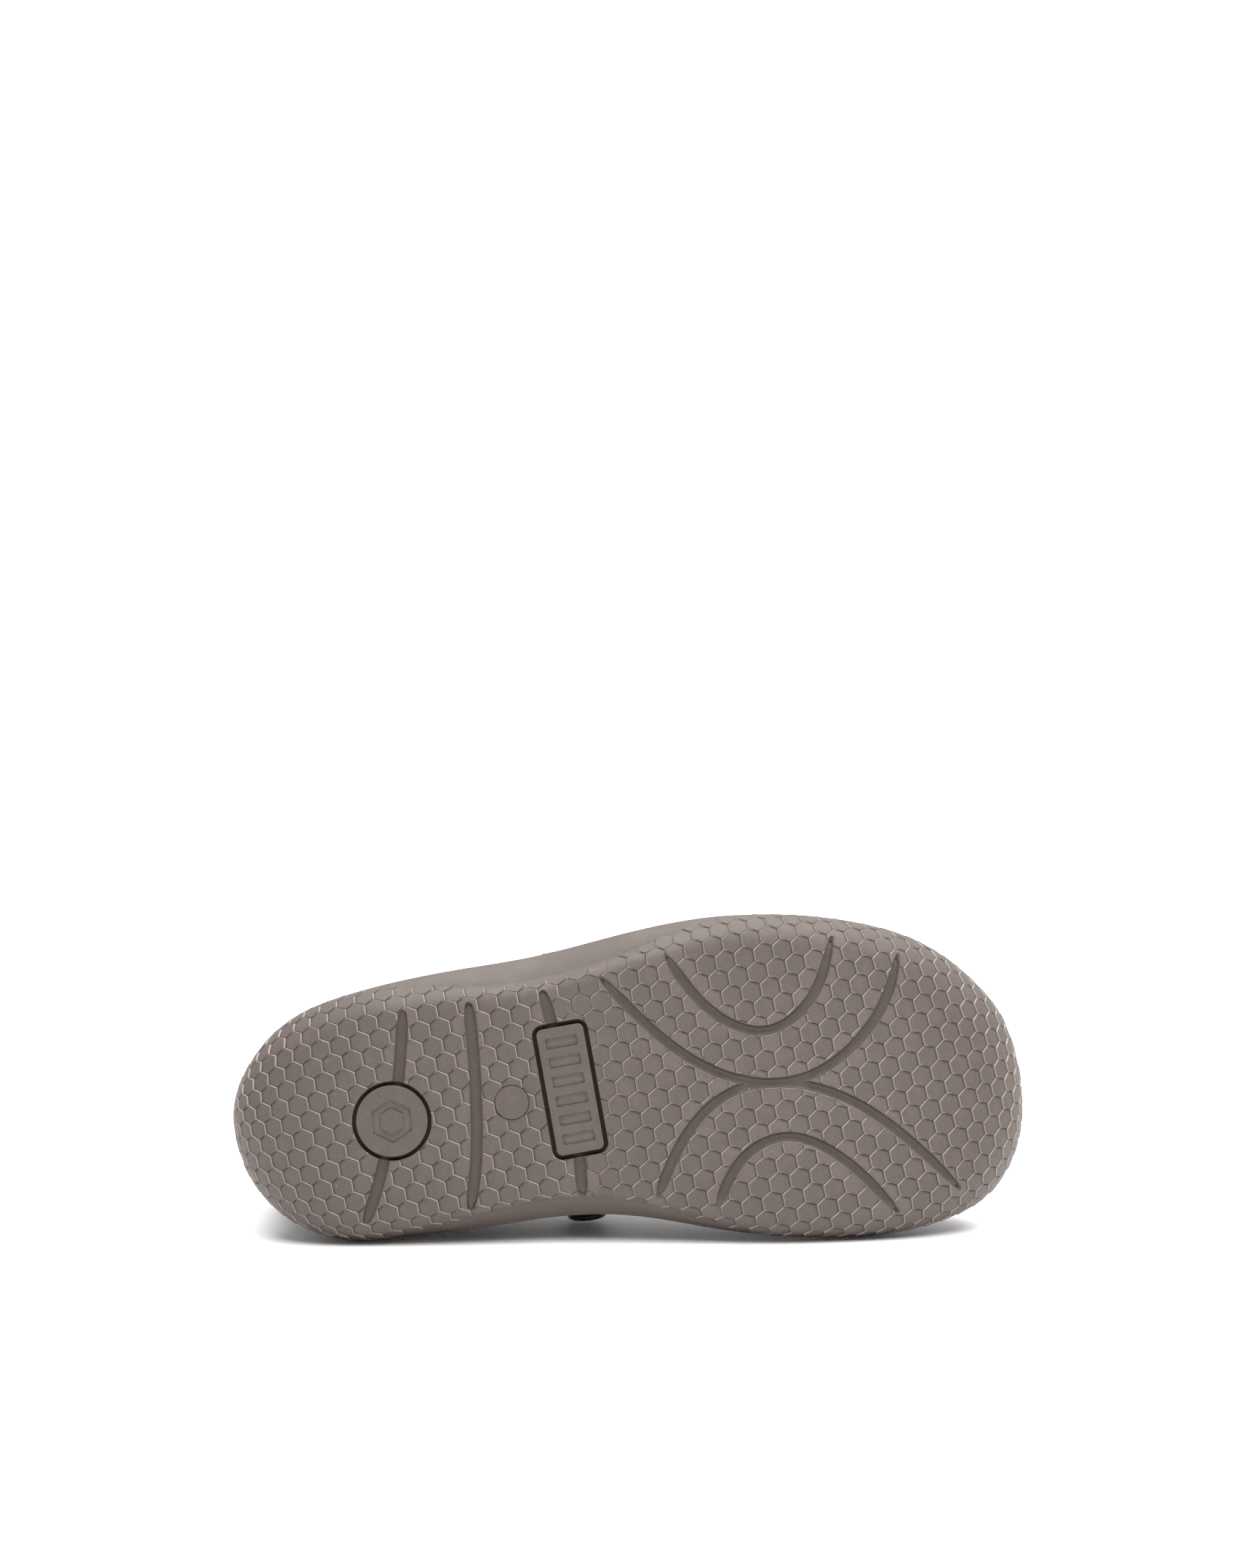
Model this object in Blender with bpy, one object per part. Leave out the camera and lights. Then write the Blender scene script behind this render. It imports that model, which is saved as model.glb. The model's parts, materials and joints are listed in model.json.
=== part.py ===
"""Child's barefoot strap shoe for the right foot, lying on its inner side.

The shoe is worked out standing: x runs from heel to toe, y is positive towards the inner side of the
foot and z is up. An empty then lays it on the inner edge of the sole and the stud of the strap.
"""
import math
from collections import namedtuple

import bpy
import numpy as np
from mathutils import Matrix

MM = 0.001              # the sizes below are millimetres, the meshes are metres

# Sizes of the last and of the pieces round it
LENGTH = 193.0          # plan length of the sole
GAP = 0.3               # space between neighbouring pieces
TOE_SPRING = 11.0       # lift of the underside at the toe tip
SPRING_START = 0.66     # station where the toe spring begins
SPRING_POWER = 1.5
ARCH_LIFT = 0.8         # lift of the underside in the waist
ARCH_FROM, ARCH_TO = 0.30, 0.54
SOLE_FLOOR = 4.2        # rubber under the insole
EDGE_RISE = 0.66        # height of the widest line as a share of the rim
RIM_WALL = 2.4          # width of the rim on top
RIM_LEAN = 0.8          # how far the rim leans in above the widest line
FLOOR_INSET = 6.0       # floor of the cup, inside the outline
COVE_FROM, COVE_TO = 0.17, 0.66
UPPER_WALL = 2.0
INSOLE_THICK = 3.0
GROOVE_RADIUS, GROOVE_DEPTH = 1.65, 1.3
RING_RADIUS, RING_GROOVE = 9.2, 0.5
FRAME_SIZE, FRAME_CORNER, FRAME_GROOVE = (12.6, 32.0), 2.0, 0.58
STRAP_STATION = 0.435
STRAP_WIDTH, STRAP_THICK, STRAP_TAB = 14.0, 1.8, 6.0
STRAP_LOW, STUD_AT, STRAP_FAR = 0.20, 0.50, 0.24   # places on the wall of the upper, 0 rim to 1 collar
INSTEP_RISE, INSTEP_SHIFT = 17.5, 1.5
STUD_RADIUS, STUD_HEIGHT = 4.7, 2.2

AROUND = 72             # points round the outline
SIDE_STEPS = 9          # steps up the wall of the upper

Outline = namedtuple("Outline", "station lateral medial overhang_lateral overhang_medial rim")
OUTLINE = tuple(Outline(*row) for row in (
    (0.00, 0.5, -0.5, 10.0, 10.0, 15.0),
    (0.02, 12.8, 14.6, 10.0, 10.0, 15.0),
    (0.05, 20.0, 22.0, 10.0, 9.5, 14.8),
    (0.10, 26.3, 28.1, 9.5, 8.5, 14.4),
    (0.15, 29.3, 30.4, 9.2, 8.0, 14.0),
    (0.20, 31.1, 30.4, 9.2, 8.0, 13.6),
    (0.30, 33.4, 29.8, 9.8, 8.2, 12.8),
    (0.40, 35.1, 28.7, 10.4, 8.4, 12.5),
    (0.50, 38.4, 30.3, 9.4, 7.8, 12.5),
    (0.60, 40.8, 35.1, 8.2, 7.0, 12.5),
    (0.70, 40.4, 38.6, 7.8, 6.8, 12.6),
    (0.80, 36.8, 40.0, 8.2, 7.2, 13.0),
    (0.90, 28.2, 37.4, 9.2, 8.6, 13.6),
    (0.95, 19.2, 32.5, 9.8, 9.4, 13.9),
    (0.98, 10.8, 25.2, 10.0, 10.0, 14.0),
    (1.00, -8.3, 8.3, 10.0, 10.0, 14.0),
))

# Edge of the sole from the flat tread to the widest line: a round one, and the cove of the waist
Edge = namedtuple("Edge", "turn cove_out cove_up")
EDGE = tuple(Edge(*row) for row in (
    (0, 0.00, 0.00),
    (15, 0.16, 0.02),
    (30, 0.29, 0.10),
    (45, 0.39, 0.25),
    (60, 0.46, 0.43),
    (75, 0.74, 0.68),
    (90, 1.00, 1.00),
))

# Collar and throat of the upper, each row above the same station of the outline
Collar = namedtuple("Collar", "station x lateral medial height roll full bulge_lateral bulge_medial")
COLLAR = tuple(Collar(*row) for row in (
    (0.00, 6.5, 0.5, -0.5, 57.0, 50, 1.00, 2.2, 2.2),
    (0.06, 11.0, 13.5, 13.5, 56.3, 48, 1.00, 1.8, 1.4),
    (0.14, 25.5, 21.0, 20.5, 53.0, 42, 1.00, 1.4, 0.5),
    (0.26, 50.5, 24.5, 23.2, 46.5, 40, 1.00, 1.5, 0.9),
    (0.40, 77.0, 25.5, 22.6, 42.4, 42, 1.00, 1.6, 3.1),
    (0.55, 100.5, 22.8, 19.6, 41.6, 58, 0.98, 1.0, 2.0),
    (0.70, 114.0, 16.0, 14.0, 42.5, 80, 0.92, 0.4, 0.6),
    (0.86, 121.0, 8.2, 8.6, 43.6, 90, 0.84, 0.0, 0.0),
    (1.00, 123.0, -0.6, 0.6, 44.0, 90, 0.80, 0.0, 0.0),
))

# Channels across the tread, as points of a smooth line
GROOVES = {
    "heel_outer": ((43.4, -23.8), (42.4, -16.3), (41.1, -8.4)),
    "heel_inner": ((36.1, 10.6), (33.7, 17.5), (30.8, 24.4)),
    "waist_rear": ((59.5, -24.4), (59.7, -14.8), (59.3, -1.1), (58.3, 11.5), (56.1, 23.2)),
    "waist_outer": ((77.7, -25.8), (78.4, -22.5), (79.1, -19.2)),
    "waist_inner": ((83.1, 14.4), (83.1, 18.2), (83.1, 22.3)),
    "ball_outer_large": ((92.2, -28.3), (106.9, -11.6), (121.4, -2.2), (137.9, -0.4), (152.6, -8.2),
                         (162.2, -21.9), (164.0, -27.4)),
    "ball_outer_small": ((108.2, -32.4), (118.9, -17.6), (130.6, -12.8), (141.9, -19.4), (148.1, -33.0)),
    "ball_inner_large": ((101.5, 24.3), (108.8, 11.4), (120.5, 1.6), (133.9, 0.2), (148.9, 5.5),
                         (163.4, 17.2), (174.2, 29.4)),
    "ball_inner_small": ((115.7, 28.1), (123.0, 17.1), (132.8, 13.3), (144.0, 17.8), (158.5, 33.4)),
}
RING_CENTRE = (38.7, 1.3)
FRAME_CENTRE, FRAME_TURN = (82.2, -2.6), -5.4

Look = namedtuple("Look", "colour roughness metallic")
LOOKS = {
    "sole": Look((0.300, 0.262, 0.240), 0.72, 0.0),
    "upper": Look((0.235, 0.200, 0.178), 0.58, 0.0),
    "insole": Look((0.470, 0.345, 0.225), 0.70, 0.0),
    "strap": Look((0.215, 0.184, 0.165), 0.58, 0.0),
    "strap_stud": Look((0.012, 0.011, 0.010), 0.34, 0.0),
}


def spline(knots, values, at):
    """Natural cubic spline through values at knots."""
    knots, values, at = (np.asarray(part, float) for part in (knots, values, at))
    step = np.diff(knots)
    rise = np.diff(values, axis=0) / step.reshape((-1,) + (1,) * (values.ndim - 1))
    count = len(knots)
    system, right = np.eye(count), np.zeros_like(values)
    for row in range(1, count - 1):
        system[row, row - 1:row + 2] = step[row - 1], 2 * (step[row - 1] + step[row]), step[row]
        right[row] = 6 * (rise[row] - rise[row - 1])
    bend = np.linalg.solve(system, right)
    span = np.clip(np.searchsorted(knots, at) - 1, 0, count - 2)
    before, after = at - knots[span], knots[span + 1] - at
    width = step[span]
    if values.ndim > 1:
        before, after, width = before[:, None], after[:, None], width[:, None]
    curve = (bend[span] * after ** 3 + bend[span + 1] * before ** 3) / (6 * width)
    start = (values[span] / width - bend[span] * width / 6) * after
    end = (values[span + 1] / width - bend[span + 1] * width / 6) * before
    return curve + start + end


def station_angle(station):
    """Angle of a station: the outline runs heel, outer side, toe, inner side."""
    return math.acos(1 - 2 * station)


def round_foot(rows, lateral, medial):
    """Function of the angle through a table's outer column, then back through its inner column."""
    angles = [station_angle(row.station) for row in rows]
    angles += [2 * math.pi - angle for angle in angles[-2:0:-1]]
    values = [getattr(row, lateral) for row in rows] + [getattr(row, medial) for row in rows[-2:0:-1]]
    turn = 2 * math.pi
    knots = np.concatenate([np.array(angles) - turn, angles, np.array(angles) + turn])
    return lambda at: spline(knots, values * 3, np.mod(at, turn))


def across(rows):
    """Function of the angle for y, from the half widths in a table."""
    Side = namedtuple("Side", "station lateral medial")
    sides = [Side(row.station, -row.lateral, row.medial) for row in rows]
    return round_foot(sides, "lateral", "medial")


OUTLINE_Y = across(OUTLINE)
OVERHANG = round_foot(OUTLINE, "overhang_lateral", "overhang_medial")
RIM = round_foot(OUTLINE, "rim", "rim")
COLLAR_X = round_foot(COLLAR, "x", "x")
COLLAR_Y = across(COLLAR)
COLLAR_Z = round_foot(COLLAR, "height", "height")
ROLL = round_foot(COLLAR, "roll", "roll")
FULL = round_foot(COLLAR, "full", "full")
BULGE = round_foot(COLLAR, "bulge_lateral", "bulge_medial")


def bump(station, start, end):
    """Smooth hill from 0 at start to 1 half way and 0 at end."""
    share = np.clip((station - start) / (end - start), 0, 1)
    return np.sin(math.pi * share) ** 2


def underside(x):
    """Height of the underside: flat at heel and ball, lifted in the waist and at the toe."""
    station = x / LENGTH
    ahead = np.clip((station - SPRING_START) / (1 - SPRING_START), 0, 1.2)
    return TOE_SPRING * ahead ** SPRING_POWER + ARCH_LIFT * bump(station, ARCH_FROM, ARCH_TO)


def plan(angle):
    return np.stack([LENGTH / 2 * (1 - np.cos(angle)), OUTLINE_Y(angle)], axis=-1)


def outward(angle):
    """Plan normal of the outline, pointing out."""
    step = plan(angle + 1e-4) - plan(angle - 1e-4)
    normal = np.stack([step[:, 1], -step[:, 0]], axis=-1)
    return normal / np.linalg.norm(normal, axis=1, keepdims=True)


def inside_outline(angle, inset, up):
    """Points a distance inside the outline, at a height above the underside."""
    place = plan(angle) - outward(angle) * np.reshape(inset * np.ones_like(angle), (-1, 1))
    return np.column_stack([place, underside(place[:, 0]) + up])


def edge_profile(angle):
    """How far the sole's edge goes out from the flat tread and up, a row for each turn."""
    cove = bump(plan(angle)[:, 0] / LENGTH, COVE_FROM, COVE_TO) ** 0.5
    out, up = [], []
    for row in EDGE:
        turn = math.radians(row.turn)
        out.append(OVERHANG(angle) * ((1 - cove) * math.sin(turn) + cove * row.cove_out))
        up.append(RIM(angle) * EDGE_RISE * ((1 - cove) * (1 - math.cos(turn)) + cove * row.cove_up))
    return np.array(out), np.array(up)


def edge_rings(angle):
    """Rings of the sole's outside from the flat tread to the widest line."""
    return [inside_outline(angle, OVERHANG(angle) - out, up) for out, up in zip(*edge_profile(angle))]


def outside_height(places):
    """Height of the sole's outside at plan points, on the flat tread or on its edge."""
    angle = np.linspace(0, 2 * math.pi, 10 * AROUND, endpoint=False)
    out, up = edge_profile(angle)
    normal = outward(angle)
    border = plan(angle) - normal * OVERHANG(angle)[:, None]
    heights = []
    for place in places:
        near = np.argmin(np.linalg.norm(border - place, axis=1))
        past = (place - border[near]) @ normal[near]
        heights.append(underside(place[0]) + np.interp(past, out[:, near], up[:, near]))
    return np.array(heights)


def wall(angle, share):
    """Outside of the upper: share 0 is at the rim of the sole and 1 at the collar."""
    foot = inside_outline(angle, RIM_LEAN + RIM_WALL + GAP, RIM(angle))
    head = np.column_stack([COLLAR_X(angle), COLLAR_Y(angle), COLLAR_Z(angle)])
    roll, power = np.radians(np.minimum(ROLL(angle), 90)), FULL(angle)
    turn = np.maximum(roll * share, 1e-6)
    lean = (1 - np.abs(np.cos(turn)) ** power) / (1 - np.abs(np.cos(roll)) ** power)
    rise = (np.sin(turn) / np.sin(roll)) ** power
    swell = (BULGE(angle) * np.sin(math.pi * rise))[:, None] * outward(angle)
    place = foot[:, :2] + (head - foot)[:, :2] * lean[:, None] + swell
    return np.column_stack([place, foot[:, 2] + (head - foot)[:, 2] * rise])


def grid_normals(rings):
    """Outward unit normals of rings stacked from the bottom up."""
    grid = np.array(rings)
    along = np.roll(grid, -1, axis=1) - np.roll(grid, 1, axis=1)
    normal = np.cross(along, np.gradient(grid, axis=0))
    return normal / np.linalg.norm(normal, axis=2, keepdims=True)


def mesh_from_rings(name, rings, capped=True, partner=0):
    """Object through rings of equal length. Caps join point k to point partner - k."""
    count, size = len(rings), len(rings[0])
    points = np.concatenate(rings) * MM
    faces = []
    for row in range(count - 1 if capped else count):
        low, high = row * size, (row + 1) % count * size
        for k in range(size):
            after = (k + 1) % size
            faces.append((low + k, low + after, high + after, high + k))
    if capped:
        top = (count - 1) * size
        for k in range((partner + size) // 2 - size // 2, (partner + size) // 2):
            strip = list(dict.fromkeys((k, k + 1, (partner - k - 1) % size, (partner - k) % size)))
            if len(strip) > 2:
                faces.append(tuple(reversed(strip)))
                faces.append(tuple(top + index for index in strip))
    mesh = bpy.data.meshes.new(name)
    mesh.from_pydata(points.tolist(), [], faces)
    mesh.validate()
    thing = bpy.data.objects.new(name, mesh)
    bpy.context.scene.collection.objects.link(thing)
    return thing


def make_sole(angle):
    rings = edge_rings(angle)
    rings.append(inside_outline(angle, RIM_LEAN, RIM(angle)))
    rings.append(inside_outline(angle, RIM_LEAN + RIM_WALL, RIM(angle)))
    rings.append(inside_outline(angle, FLOOR_INSET, SOLE_FLOOR))
    return mesh_from_rings("sole", rings)


def make_upper(angle):
    rings = [inside_outline(angle, FLOOR_INSET + GAP, SOLE_FLOOR + GAP)]
    rings += [wall(angle, step / SIDE_STEPS) for step in range(SIDE_STEPS + 1)]
    inner = np.array(rings) - grid_normals(rings) * UPPER_WALL
    return mesh_from_rings("upper", rings + list(inner[::-1]), capped=False)


def make_insole(angle):
    inset = FLOOR_INSET + GAP + UPPER_WALL + GAP
    low = SOLE_FLOOR + GAP
    rings = [inside_outline(angle, inset + 0.5, low), inside_outline(angle, inset, low + 0.5),
             inside_outline(angle, inset, low + INSOLE_THICK - 0.5),
             inside_outline(angle, inset + 0.8, low + INSOLE_THICK)]
    return mesh_from_rings("insole", rings)


def wall_at(x, share, medial):
    """Point of the upper's outside at a given x, found by halving the angle's range."""
    low, high = (math.pi, 2 * math.pi) if medial else (0.0, math.pi)
    for _ in range(40):
        middle = (low + high) / 2
        if (wall(np.array([middle]), share)[0, 0] < x) != medial:
            low = middle
        else:
            high = middle
    return wall(np.array([middle]), share)[0]


def strap_line(x, steps=160):
    """Inside of the strap at x as y and z, from the inner side over the instep to the outer side."""
    inner = [wall_at(x, share, True)[1:] for share in np.linspace(STRAP_LOW, 1, 6)]
    outer = [wall_at(x, share, False)[1:] for share in np.linspace(1, STRAP_FAR, 6)]
    left, right = inner[-1], outer[0]
    middle, half = (left + right) / 2, (left[0] - right[0]) / 2
    arch = []
    for turn in (48, 90, 132):
        lean = math.radians(turn)
        arch.append(np.array([middle[0] + half * math.cos(lean) + INSTEP_SHIFT * math.sin(lean),
                              middle[1] + INSTEP_RISE * math.sin(lean)]))
    points = np.array(inner + arch + outer)
    run = np.concatenate([[0], np.cumsum(np.linalg.norm(np.diff(points, axis=0), axis=1))])
    return spline(run, points, np.linspace(0, run[-1], steps))


def shifted(line, distance):
    """Line moved sideways, away from the foot."""
    step = np.gradient(line, axis=0)
    normal = np.column_stack([step[:, 1], -step[:, 0]])
    return line + distance * normal / np.linalg.norm(normal, axis=1, keepdims=True)


def strap_section(offset, count):
    """Points along one edge-to-edge place of the strap, on its inside and on its outside."""
    x = LENGTH * STRAP_STATION + STRAP_WIDTH / 2 * offset
    line = strap_line(x)
    run = np.concatenate([[0], np.cumsum(np.linalg.norm(np.diff(line, axis=0), axis=1))])
    trim = STRAP_TAB * (1 - math.sqrt(1 - offset ** 2))
    places = np.linspace(trim, run[-1] - trim, count)
    sides = []
    for lift in (GAP + 0.05, GAP + 0.05 + STRAP_THICK):
        moved = shifted(line, lift)
        y, z = np.interp(places, run, moved[:, 0]), np.interp(places, run, moved[:, 1])
        sides.append(np.column_stack([np.full(count, x), y, z]))
    return sides


def make_strap(count=34):
    offsets = [math.sin(math.radians(turn)) for turn in (-90, -60, -30, 0, 30, 60, 90)]
    sections = [strap_section(offset, count) for offset in offsets]
    rings = []
    for place in range(count):
        inside = [section[0][place] for section in sections]
        outside = [section[1][place] for section in reversed(sections)]
        rings.append(np.array(inside + outside))
    return mesh_from_rings("strap", rings, partner=2 * len(offsets) - 1)


def stud_frame():
    """Centre of the stud's seat on the strap, with its axis and two directions across it."""
    x = LENGTH * STRAP_STATION
    here, above = wall_at(x, STUD_AT, True), wall_at(x, STUD_AT + 0.02, True)
    ahead = wall_at(x + 1, STUD_AT, True)
    axis = np.cross(above - here, ahead - here)
    axis /= np.linalg.norm(axis)
    side = (ahead - here) / np.linalg.norm(ahead - here)
    seat = here + axis * (2 * GAP + 0.2 + STRAP_THICK)
    return seat, axis, side, np.cross(axis, side)


def make_stud(count=24):
    seat, axis, side, other = stud_frame()
    turns = np.linspace(0, 2 * math.pi, count, endpoint=False)
    rings = []
    for share, up in ((0.86, 0.0), (1.0, 0.35), (1.0, 0.62), (0.88, 0.84), (0.62, 0.96), (0.25, 1.0)):
        circle = np.outer(np.cos(turns), side) + np.outer(np.sin(turns), other)
        rings.append(seat + circle * STUD_RADIUS * share + axis * STUD_HEIGHT * up)
    return mesh_from_rings("strap_stud", rings)


def tube(name, line, radius, depth, closed=False, sides=10):
    """Round cutter along a line of plan points on the sole's outside, its ends drawn in."""
    line = np.asarray(line, float)
    ahead = np.roll(line, -1, axis=0) - np.roll(line, 1, axis=0) if closed else np.gradient(line, axis=0)
    normal = np.column_stack([-ahead[:, 1], ahead[:, 0]])
    normal /= np.linalg.norm(normal, axis=1, keepdims=True)
    middles = outside_height(line) - (radius - depth)
    rings = []
    for place, across_line, height in zip(line, normal, middles):
        turns = 2 * math.pi * (np.arange(sides) + 0.5) / sides
        points = place + radius * np.outer(np.cos(turns), across_line)
        rings.append(np.column_stack([points, height + radius * np.sin(turns)]))
    if not closed:
        for end, inner in ((0, 1), (-1, -2)):
            middle = rings[end].mean(axis=0)
            tip = middle - (rings[inner].mean(axis=0) - middle) * 0.25
            rings[end] = tip + (rings[end] - middle) * 0.45
    cutter = mesh_from_rings(name, rings, capped=not closed, partner=sides - 1)
    cutter.display_type = 'WIRE'
    cutter.hide_render = True
    return cutter


def groove_line(points):
    """Smooth line through a groove's points, a step about every 4 mm."""
    points = np.array(points)
    run = np.concatenate([[0], np.cumsum(np.linalg.norm(np.diff(points, axis=0), axis=1))])
    return spline(run, points, np.linspace(0, run[-1], max(4, round(run[-1] / 4.0))))


def frame_line(corner_steps=3):
    """Rounded rectangle round the plate in the waist."""
    turn = math.radians(FRAME_TURN)
    line = []
    for quarter, (sx, sy) in enumerate(((1, 1), (-1, 1), (-1, -1), (1, -1))):
        for step in range(corner_steps + 1):
            angle = math.pi / 2 * (quarter + step / corner_steps)
            x = sx * (FRAME_SIZE[0] / 2 - FRAME_CORNER) + FRAME_CORNER * math.cos(angle)
            y = sy * (FRAME_SIZE[1] / 2 - FRAME_CORNER) + FRAME_CORNER * math.sin(angle)
            line.append((FRAME_CENTRE[0] + x * math.cos(turn) - y * math.sin(turn),
                         FRAME_CENTRE[1] + x * math.sin(turn) + y * math.cos(turn)))
    return line


def tread_cutters():
    cutters = [tube("cut_" + name, groove_line(points), GROOVE_RADIUS, GROOVE_DEPTH)
               for name, points in GROOVES.items()]
    turns = np.linspace(0, 2 * math.pi, 28, endpoint=False)
    circle = np.column_stack([np.cos(turns), np.sin(turns)]) * RING_RADIUS + RING_CENTRE
    cutters.append(tube("cut_heel_ring", circle, RING_GROOVE, RING_GROOVE, closed=True, sides=6))
    cutters.append(tube("cut_plate_frame", frame_line(), FRAME_GROOVE, FRAME_GROOVE, closed=True, sides=6))
    return cutters


def lying_pose(points):
    """Matrix that lays the shoe on heel and ball of its inner edge and on the stud."""
    side = np.array(((1, 0, 0), (0, 0, 1), (0, -1, 0)), float)
    turned = points @ side.T
    groups = (points[:, 0] < 0.35 * LENGTH) & (points[:, 2] < 16), \
             (points[:, 0] > 0.60 * LENGTH) & (points[:, 2] < 22), \
             points[:, 2] > 22
    up = np.array((0.0, 0.0, 1.0))
    for _ in range(12):
        heel, ball, stud = (turned[group][np.argmin(turned[group] @ up)] for group in groups)
        up = np.cross(ball - heel, stud - heel)
        up /= np.linalg.norm(up)
    ahead = np.array((1.0, 0.0, 0.0)) - up * up[0]
    ahead /= np.linalg.norm(ahead)
    turn = np.array((ahead, np.cross(up, ahead), up)) @ side
    placed = points @ turn.T * MM
    low, high = placed.min(axis=0), placed.max(axis=0)
    pose = Matrix(turn.tolist()).to_4x4()
    pose.translation = (-(low[0] + high[0]) / 2, -(low[1] + high[1]) / 2, -low[2])
    return pose


def give_look(thing):
    look = LOOKS[thing.name]
    material = bpy.data.materials.new(thing.name)
    material.use_nodes = True
    shader = material.node_tree.nodes["Principled BSDF"]
    shader.inputs["Base Color"].default_value = (*look.colour, 1.0)
    shader.inputs["Roughness"].default_value = look.roughness
    shader.inputs["Metallic"].default_value = look.metallic
    thing.data.materials.append(material)


for old in list(bpy.data.objects):
    bpy.data.objects.remove(old, do_unlink=True)

angles = np.linspace(0, 2 * math.pi, AROUND, endpoint=False)
sole = make_sole(angles)
pieces = [sole, make_upper(angles), make_insole(angles), make_strap(), make_stud()]
cutters = tread_cutters()
for cutter in cutters:
    cut = sole.modifiers.new(cutter.name, 'BOOLEAN')
    cut.operation = 'DIFFERENCE'
    cut.solver = 'EXACT'
    cut.object = cutter

corners = np.array([tuple(vertex.co) for piece in pieces for vertex in piece.data.vertices]) / MM
lying = bpy.data.objects.new("lying", None)
bpy.context.scene.collection.objects.link(lying)
lying.matrix_world = lying_pose(corners)
for thing in pieces + cutters:
    thing.parent = lying
for piece in pieces:
    give_look(piece)
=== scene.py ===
import json
import math

import bmesh
import bpy
import numpy as np
from mathutils import Matrix, Vector
from mathutils.bvhtree import BVHTree


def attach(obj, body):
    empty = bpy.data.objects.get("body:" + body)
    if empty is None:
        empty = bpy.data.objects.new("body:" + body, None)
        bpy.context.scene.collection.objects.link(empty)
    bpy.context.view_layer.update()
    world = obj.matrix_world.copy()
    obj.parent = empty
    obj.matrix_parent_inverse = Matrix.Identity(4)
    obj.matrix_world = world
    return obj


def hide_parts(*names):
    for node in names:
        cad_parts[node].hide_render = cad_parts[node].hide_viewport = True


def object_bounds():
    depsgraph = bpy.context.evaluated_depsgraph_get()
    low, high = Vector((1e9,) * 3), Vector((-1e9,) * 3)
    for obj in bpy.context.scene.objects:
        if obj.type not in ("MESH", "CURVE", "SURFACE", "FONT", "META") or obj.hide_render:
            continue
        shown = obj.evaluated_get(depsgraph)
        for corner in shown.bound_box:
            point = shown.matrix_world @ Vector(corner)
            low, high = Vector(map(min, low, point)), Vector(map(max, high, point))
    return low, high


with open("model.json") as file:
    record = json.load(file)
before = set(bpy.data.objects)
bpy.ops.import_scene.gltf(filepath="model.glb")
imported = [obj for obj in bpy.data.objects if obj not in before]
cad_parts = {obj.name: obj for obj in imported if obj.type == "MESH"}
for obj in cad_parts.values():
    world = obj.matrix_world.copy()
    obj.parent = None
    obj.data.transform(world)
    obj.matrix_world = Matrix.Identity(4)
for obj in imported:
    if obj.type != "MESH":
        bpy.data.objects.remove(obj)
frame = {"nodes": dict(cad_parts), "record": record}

scene = bpy.context.scene
cadBox = [list(corner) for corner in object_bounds()]
mounts = {mount["name"]: mount for mount in frame["record"]["mounts"]}
mm = 0.001
print("frame loaded:", ", ".join(sorted(frame["nodes"])))

# the shoe's own axes, read from the two ground spots of the record
groundSpots = dict(heelAlong=20.0, inward=14.0)
heelSpot = Vector(mounts["heel_ground"]["pos_m"])
ballSpot = Vector(mounts["ball_ground"]["pos_m"])
upWay = -Vector(mounts["heel_ground"]["axis"]).normalized()
toeWay = (ballSpot - heelSpot).normalized()
innerWay = upWay.cross(toeWay)
shoeFrame = Matrix((toeWay, innerWay, upWay)).transposed().to_4x4()
shoeFrame.translation = heelSpot - (toeWay * groundSpots["heelAlong"] + innerWay * groundSpots["inward"]) * mm
shoeTurn = np.array(shoeFrame.to_3x3())
shoeStart = np.array(shoeFrame.translation)


def toWorld(points):
    return np.asarray(points, float) * mm @ shoeTurn.T + shoeStart


def deselectAll():
    bpy.ops.object.select_all(action='DESELECT')


def pick(piece):
    deselectAll()
    piece.select_set(True)
    bpy.context.view_layer.objects.active = piece


def applyAll(piece):
    pick(piece)
    for modifier in list(piece.modifiers):
        bpy.ops.object.modifier_apply(modifier=modifier.name)


def mode(name):
    bpy.ops.object.mode_set(mode=name)


def drop(piece):
    bpy.data.objects.remove(piece, do_unlink=True)


def newPiece(name, points, faces):
    mesh = bpy.data.meshes.new(name)
    mesh.from_pydata(np.asarray(points).tolist(), [], faces)
    piece = bpy.data.objects.new(name, mesh)
    scene.collection.objects.link(piece)
    return piece


def smoothByAngle(piece, degrees):
    pick(piece)
    bpy.ops.object.shade_smooth_by_angle(angle=math.radians(degrees))


def settle(piece, place):
    # puts the object's place into its mesh
    piece.data.transform(place @ piece.matrix_world)
    piece.matrix_world = Matrix.Identity(4)
    return piece


def pointsOf(piece):
    return np.array([tuple(vertex.co) for vertex in piece.data.vertices])


def mark(piece, **columns):
    for name, values in columns.items():
        layer = piece.data.attributes.new(name, 'FLOAT', 'POINT')
        layer.data.foreach_set("value", values.astype(np.float32))


def unit(rows):
    return rows / np.linalg.norm(rows, axis=1, keepdims=True)


def runAlong(points):
    return np.concatenate([[0], np.cumsum(np.linalg.norm(np.diff(points, axis=0), axis=1))])


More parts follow.
